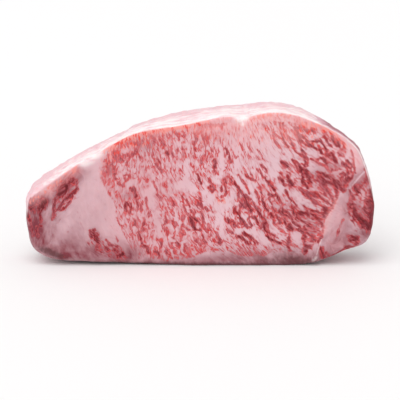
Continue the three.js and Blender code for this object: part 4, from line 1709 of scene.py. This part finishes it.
        pores = self.noise["pores"]
        height = pores * f.pore_height - self.is_lean * f.lean_sinks
        steady = {"Strength": f.bump_strength, "Distance": f.bump_distance}
        bump = s.add("ShaderNodeBump", {}, {**steady, "Height": height})
        rough = self.is_lean.between(*f.rough_fat_lean) + pores * f.pore_roughness
        return s.finish(
            {
                "Subsurface Weight": f.subsurface,
                "Subsurface Radius": f.subsurface_radius,
                "Subsurface Scale": f.subsurface_scale,
                "Specular IOR Level": f.specular,
            },
            {"Base Color": colour, "Roughness": rough, "Normal": bump},
        )


@dataclass(frozen=True)
class FloorFinish:
    """A matt, almost white tabletop with the faintest mottling, in cells of a metre."""

    light: Rgba = linear(247, 246, 246)
    shade: Rgba = linear(242, 241, 241)
    cells: Triple = (1.0, 1.0, 1.0)
    detail: float = 2.0
    roughness: float = 0.8
    specular: float = 0.2

    def build(self) -> bpy.types.Material:
        """Makes the material.

        Returns:
            The material.
        """
        s = Shader("pale tabletop")
        place = s.add("ShaderNodeTexCoord", {}, {}, "Object")
        colour = s.blend(s.noise(place, self.cells, self.detail), self.light, self.shade)
        constants = {"Roughness": self.roughness, "Specular IOR Level": self.specular}
        return s.finish(constants, {"Base Color": colour})


# ---- the steak ----------------------------------------------------------------------------------


def add_object(name: str, data: bpy.types.ID) -> bpy.types.Object:
    """Makes an object of a mesh, a light or a camera, and links it to the scene.

    Args:
        name: The object's name.
        data: What it holds.

    Returns:
        The object.
    """
    made = bpy.data.objects.new(name, data)
    bpy.context.scene.collection.objects.link(made)
    return made


@dataclass(frozen=True)
class Zones:
    """Where the fat cap, the strip of lean, the coral with its painted glow under the rim, the painted
    shade of the foot and the silverskin with its painted highlight lie.

    Each span runs from where its part has no strength to where it has all of it. Depths are shares of the
    thickness, places are x and heights are z in mm, and a slope is how far a wall faces upwards. Spots
    hold x, reach and strength.
    """

    front_edge: Span = (0.0, 0.03)
    back_edge: Span = (1.0, 0.97)
    cap_slope: Span = (0.15, 0.4)
    tail_cap_height: Span = (28.0, 36.0)
    tail_cap_place: Span = (-88.0, -92.0)
    tail_tone_place: Span = (-20.0, -70.0)
    tail_tone: float = 0.15
    tail_end_place: Span = (-78.0, -95.0)
    tail_end_tone: float = 0.5
    strip_place: Span = (56.0, 74.0)
    strip_slope: Span = (0.1, 0.3)
    strip_depth: Span = (0.02, 0.1)
    strip_strength: float = 0.55
    deep_strip_place: Span = (60.0, 76.0)
    deep_strip_depth: Span = (0.18, 0.32)
    deep_strip_strength: float = 0.45
    # Painted glow: warm coral just under the front rim, where light shines through the thin fat. It is
    # strongest along these stretches and spots, and fainter over the top of the face.
    under_rim: Span = (4.5, 1.0)
    coral_height: Span = (35.0, 55.0)
    coral_start: Span = (-57.0, -50.0)
    coral_end: Span = (10.0, -2.0)
    coral_spots: tuple[Triple, ...] = ((38.0, 13.0, 0.7), (71.0, 10.0, 0.9))
    top_glow_height: Span = (58.0, 80.0)
    top_glow: float = 0.22
    # Painted shade along the foot, full at the bottom.
    foot_height: Span = (4.0, 0.0)
    # Silverskin with a painted highlight, along the top of the seam.
    silver_height: Span = (44.0, 51.0)
    silver_reach: float = 0.45
    silver_strength: float = 0.7


@dataclass
class Steak:
    """The dressed steak: its form, its marbling, and the mesh that holds both.

    Lengths are in mm. Lean lies lean_sinks lower than fat, over the span of leanness lean_span. The fat
    cap's own unevenness is cap_height high with cells of cap_cells, read from a shifted place of the
    noise. ripples holds the cell size and the height of each kind of fine unevenness.
    """

    form: SteakForm = field(default_factory=SteakForm)
    marbling: Marbling = field(default_factory=Marbling)
    finish: MeatFinish = field(default_factory=MeatFinish)
    zones: Zones = Zones()
    relief: SoftNoise = SoftNoise(7)
    lean_sinks: float = 0.12
    lean_span: Span = (-0.3, 0.5)
    cap_height: float = 0.4
    cap_cells: Triple = (2.4, 5.0, 2.4)
    cap_shift: Triple = (0.0, 9.0, 0.0)
    ripples: tuple[Span, ...] = ((7.0, 0.22), (3.0, 0.1), (1.5, 0.05))

    def build(self) -> bpy.types.Object:
        """Makes the steak's object.

        Returns:
            The object, in place on the frame and dressed.
        """
        skin = self.form.build()
        offset = self._offset(skin.points)
        fields = self._fields(skin)
        self._add_fine_relief(skin, fields)
        mesh = self._mesh(skin, offset)
        for name, values in fields.items():
            layer = mesh.attributes.new(name, "FLOAT_VECTOR", "POINT")
            layer.data.foreach_set("vector", values.astype(np.float32).ravel())
        mesh.materials.append(self.finish.build())
        piece = add_object("steak_meat", mesh)
        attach(piece, "root")
        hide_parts(NODE)
        triangles = sum(len(p.vertices) - 2 for p in mesh.polygons)
        LOG.info("steak: %d vertices, %d triangles", len(mesh.vertices), triangles)
        return piece

    @staticmethod
    def _offset(points: Array) -> Array:
        """What takes the form's own millimetres onto the frame: box middle to box middle, foot to foot.

        Args:
            points: The form's points, in mm.

        Returns:
            The shift along x, y and z, in mm.
        """
        low, high = (np.array(c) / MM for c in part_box(NODE))
        own_low, own_high = points.min(0), points.max(0)
        offset = (low + high - own_low - own_high) / 2.0
        offset[2] = low[2] - own_low[2]
        return offset

    def _fields(self, skin: Skin) -> dict[str, Array]:
        """The mesh's vector attributes.

        Args:
            skin: The steak's surface, before its fine relief.

        Returns:
            grain, coordinates in mm along the fibres; sides, coordinates in mm along the fat cap; meat,
            which holds lean, dark and dusky colour, the last two partly painted shade; wash, which holds
            blush, pale fat with a painted highlight on the left rim, and haze; skin, which holds fat cap,
            painted shade at the foot, and the silverskin's painted highlight; and rim, which holds the
            bright coral with the painted glow under the rim, the way across the wall and the strip of
            lean.
        """
        x, y, z = skin.points.T
        zones = self.zones
        front = np.where(skin.share < 0.5, 1.0, 0.0)
        out = self.form.front.outward(skin.t)
        upward = np.where(skin.wall, out[:, 1], 0.0)
        through = np.where(skin.wall, skin.share, 0.0)

        tail_cap = smoothstep(*zones.tail_cap_height, z) * smoothstep(*zones.tail_cap_place, x)
        cap = np.clip(smoothstep(*zones.cap_slope, upward) + tail_cap, 0.0, 1.0)
        cap *= smoothstep(*zones.front_edge, through) * smoothstep(*zones.back_edge, through)
        toned = through + zones.tail_tone * smoothstep(*zones.tail_tone_place, x)
        toned += zones.tail_end_tone * smoothstep(*zones.tail_end_place, x)

        strip = zones.strip_strength * smoothstep(*zones.strip_depth, through)
        deep_strip = smoothstep(*zones.deep_strip_depth, through) * smoothstep(*zones.deep_strip_place, x)
        strip += zones.deep_strip_strength * deep_strip
        strip *= smoothstep(*zones.strip_place, x) * smoothstep(*zones.strip_slope, upward)

        # Painted glow of light through the thin fat under the rim and over the top, with the marked coral
        # spots.
        glow_along_rim = smoothstep(*zones.coral_start, x) * smoothstep(*zones.coral_end, x)
        glow_along_rim += sum(strength * bell((x - at) / reach) for at, reach, strength in zones.coral_spots)
        under_rim = smoothstep(*zones.under_rim, skin.inside) * smoothstep(*zones.coral_height, z)
        top_glow = zones.top_glow * smoothstep(*zones.top_glow_height, z)
        ember = np.maximum(under_rim * glow_along_rim, np.maximum(self.marbling.ember(x, z), top_glow)) * front

        # Painted shade along the foot, reaching higher in the foot's shade patches.
        foot = smoothstep(*zones.foot_height, z)
        for shade in self.form.foot_shades:
            foot = np.maximum(foot, shade.weight * shade.at(x, z))
        # Silverskin along the top of the seam, with a painted highlight.
        seam = self.form.seam_distance(x, z)
        silver = zones.silver_strength * bell(seam / zones.silver_reach) * front
        silver *= smoothstep(*zones.silver_height, z)
        return {
            "grain": self.marbling.grain(x, y, z),
            "sides": np.stack([x, y, z], -1),
            "meat": self.marbling.tones(x, z),
            "wash": self.marbling.washes(x, z) * front[:, None],
            "skin": np.stack([cap, foot, silver], -1),
            "rim": np.stack([ember, toned, strip], -1),
        }

    def _add_fine_relief(self, skin: Skin, fields: dict[str, Array]) -> None:
        """Moves the surface along its normals: sunken lean, and unevenness at three sizes.

        Args:
            skin: The steak's surface, which is moved.
            fields: Its vector attributes.
        """
        x, y, z = skin.points.T
        lean, cap = fields["meat"][:, 0], fields["skin"][:, 0]
        move = self.cap_height * cap * self.relief.at(*(skin.points / self.cap_cells + self.cap_shift).T)
        move -= self.lean_sinks * smoothstep(*self.lean_span, lean)
        for cells, height in self.ripples:
            move += height * self.relief.at(x / cells, y / cells, z / cells)
        skin.points += skin.normals() * move[:, None]
        skin.points[:, 2] = np.maximum(skin.points[:, 2], 0.0)

    @staticmethod
    def _mesh(skin: Skin, offset: Array) -> bpy.types.Mesh:
        """Writes the skin as a smooth mesh in metres.

        Args:
            skin: The finished surface.
            offset: Its shift onto the frame, in mm.

        Returns:
            The mesh.
        """
        mesh = bpy.data.meshes.new("steak_meat")
        faces = skin.quads.tolist() + skin.joints.tolist()
        mesh.from_pydata(((skin.points + offset) * MM).tolist(), [], faces)
        mesh.shade_smooth()
        mesh.validate()
        return mesh


# ---- studio -------------------------------------------------------------------------------------


class LightAim(Enum):
    """Where the soft lights shine from, as directions from the middle of the steak."""

    OVERHEAD = (-0.2, -0.35, 1.0)
    FRONT = (-0.5, -1.0, 0.7)


@dataclass
class Studio:
    """A pale floor, soft lights and the camera."""

    elevation: float = 15.0
    distance: float = 1.2
    mm_per_pixel: float = 0.579
    picture_size: int = 400
    aim_height: float = 0.0357
    floor_side: float = 6.0
    overhead_strength: float = 1.1
    overhead_spread: float = 50.0
    front_strength: float = 0.45
    front_spread: float = 35.0
    sky: float = 0.72
    finish: FloorFinish = field(default_factory=FloorFinish)

    def build(self) -> None:
        """Makes the floor, the lights, the sky and the camera."""
        self._floor()
        self._light("overhead", LightAim.OVERHEAD, self.overhead_strength, self.overhead_spread)
        self._light("front", LightAim.FRONT, self.front_strength, self.front_spread)
        self._sky()
        self._camera()
        bpy.context.scene.view_settings.view_transform = "Standard"

    def _floor(self) -> None:
        """A level sheet at the height the steak stands on."""
        half = self.floor_side / 2.0
        corners = [(-half, -half, 0.0), (half, -half, 0.0), (half, half, 0.0), (-half, half, 0.0)]
        mesh = bpy.data.meshes.new("floor")
        mesh.from_pydata(corners, [], [(0, 1, 2, 3)])
        mesh.materials.append(self.finish.build())
        add_object("floor", mesh)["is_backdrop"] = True

    @staticmethod
    def _light(name: str, aim: LightAim, strength: float, spread: float) -> None:
        """A far, wide light, as even as that of a large softbox.

        Args:
            name: Its name.
            aim: Where it shines from.
            strength: How much light it gives.
            spread: The angle that it fills as the steak sees it, in degrees.
        """
        lamp = bpy.data.lights.new(name, "SUN")
        lamp.energy = strength
        lamp.angle = math.radians(spread)
        holder = add_object(name, lamp)
        holder.location = aim.value
        Studio._turn(holder, Vector(aim.value))

    def _sky(self) -> None:
        """An even pale surrounding light."""
        world = bpy.data.worlds.new("studio")
        world.use_nodes = True
        background = world.node_tree.nodes["Background"]
        background.inputs["Color"].default_value = (1.0, 1.0, 1.0, 1.0)
        background.inputs["Strength"].default_value = self.sky
        bpy.context.scene.world = world

    def _camera(self) -> None:
        """A long lens, a little above the steak and straight in front of its cut face."""
        camera = bpy.data.cameras.new("camera")
        pixels_to_focus = self.distance / (self.mm_per_pixel * MM)
        camera.lens = camera.sensor_width * pixels_to_focus / self.picture_size
        holder = add_object("camera", camera)
        angle = math.radians(self.elevation)
        back = Vector((0.0, -math.cos(angle), math.sin(angle)))
        holder.location = Vector((0.0, 0.0, self.aim_height)) + back * self.distance
        self._turn(holder, back)
        bpy.context.scene.camera = holder

    @staticmethod
    def _turn(holder: bpy.types.Object, back: Vector) -> None:
        """Turns a light or camera so that it looks away from this direction."""
        holder.rotation_mode = "QUATERNION"
        holder.rotation_quaternion = (-back).to_track_quat("-Z", "Y")


def write_sizes() -> None:
    """Works out the solid model's box and the dressed model's box, in metres, as JSON text that is not
    written anywhere.
    """
    boxes = {"cad": CAD_BOX, "visual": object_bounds()}
    json.dumps({name: [list(corner) for corner in box] for name, box in boxes.items()})


def main() -> None:
    """Builds the steak and the studio around it."""
    logging.basicConfig(level=logging.INFO, format="%(name)s: %(message)s")
    Steak().build()
    Studio().build()
    write_sizes()


if __name__ == "__main__":
    main()
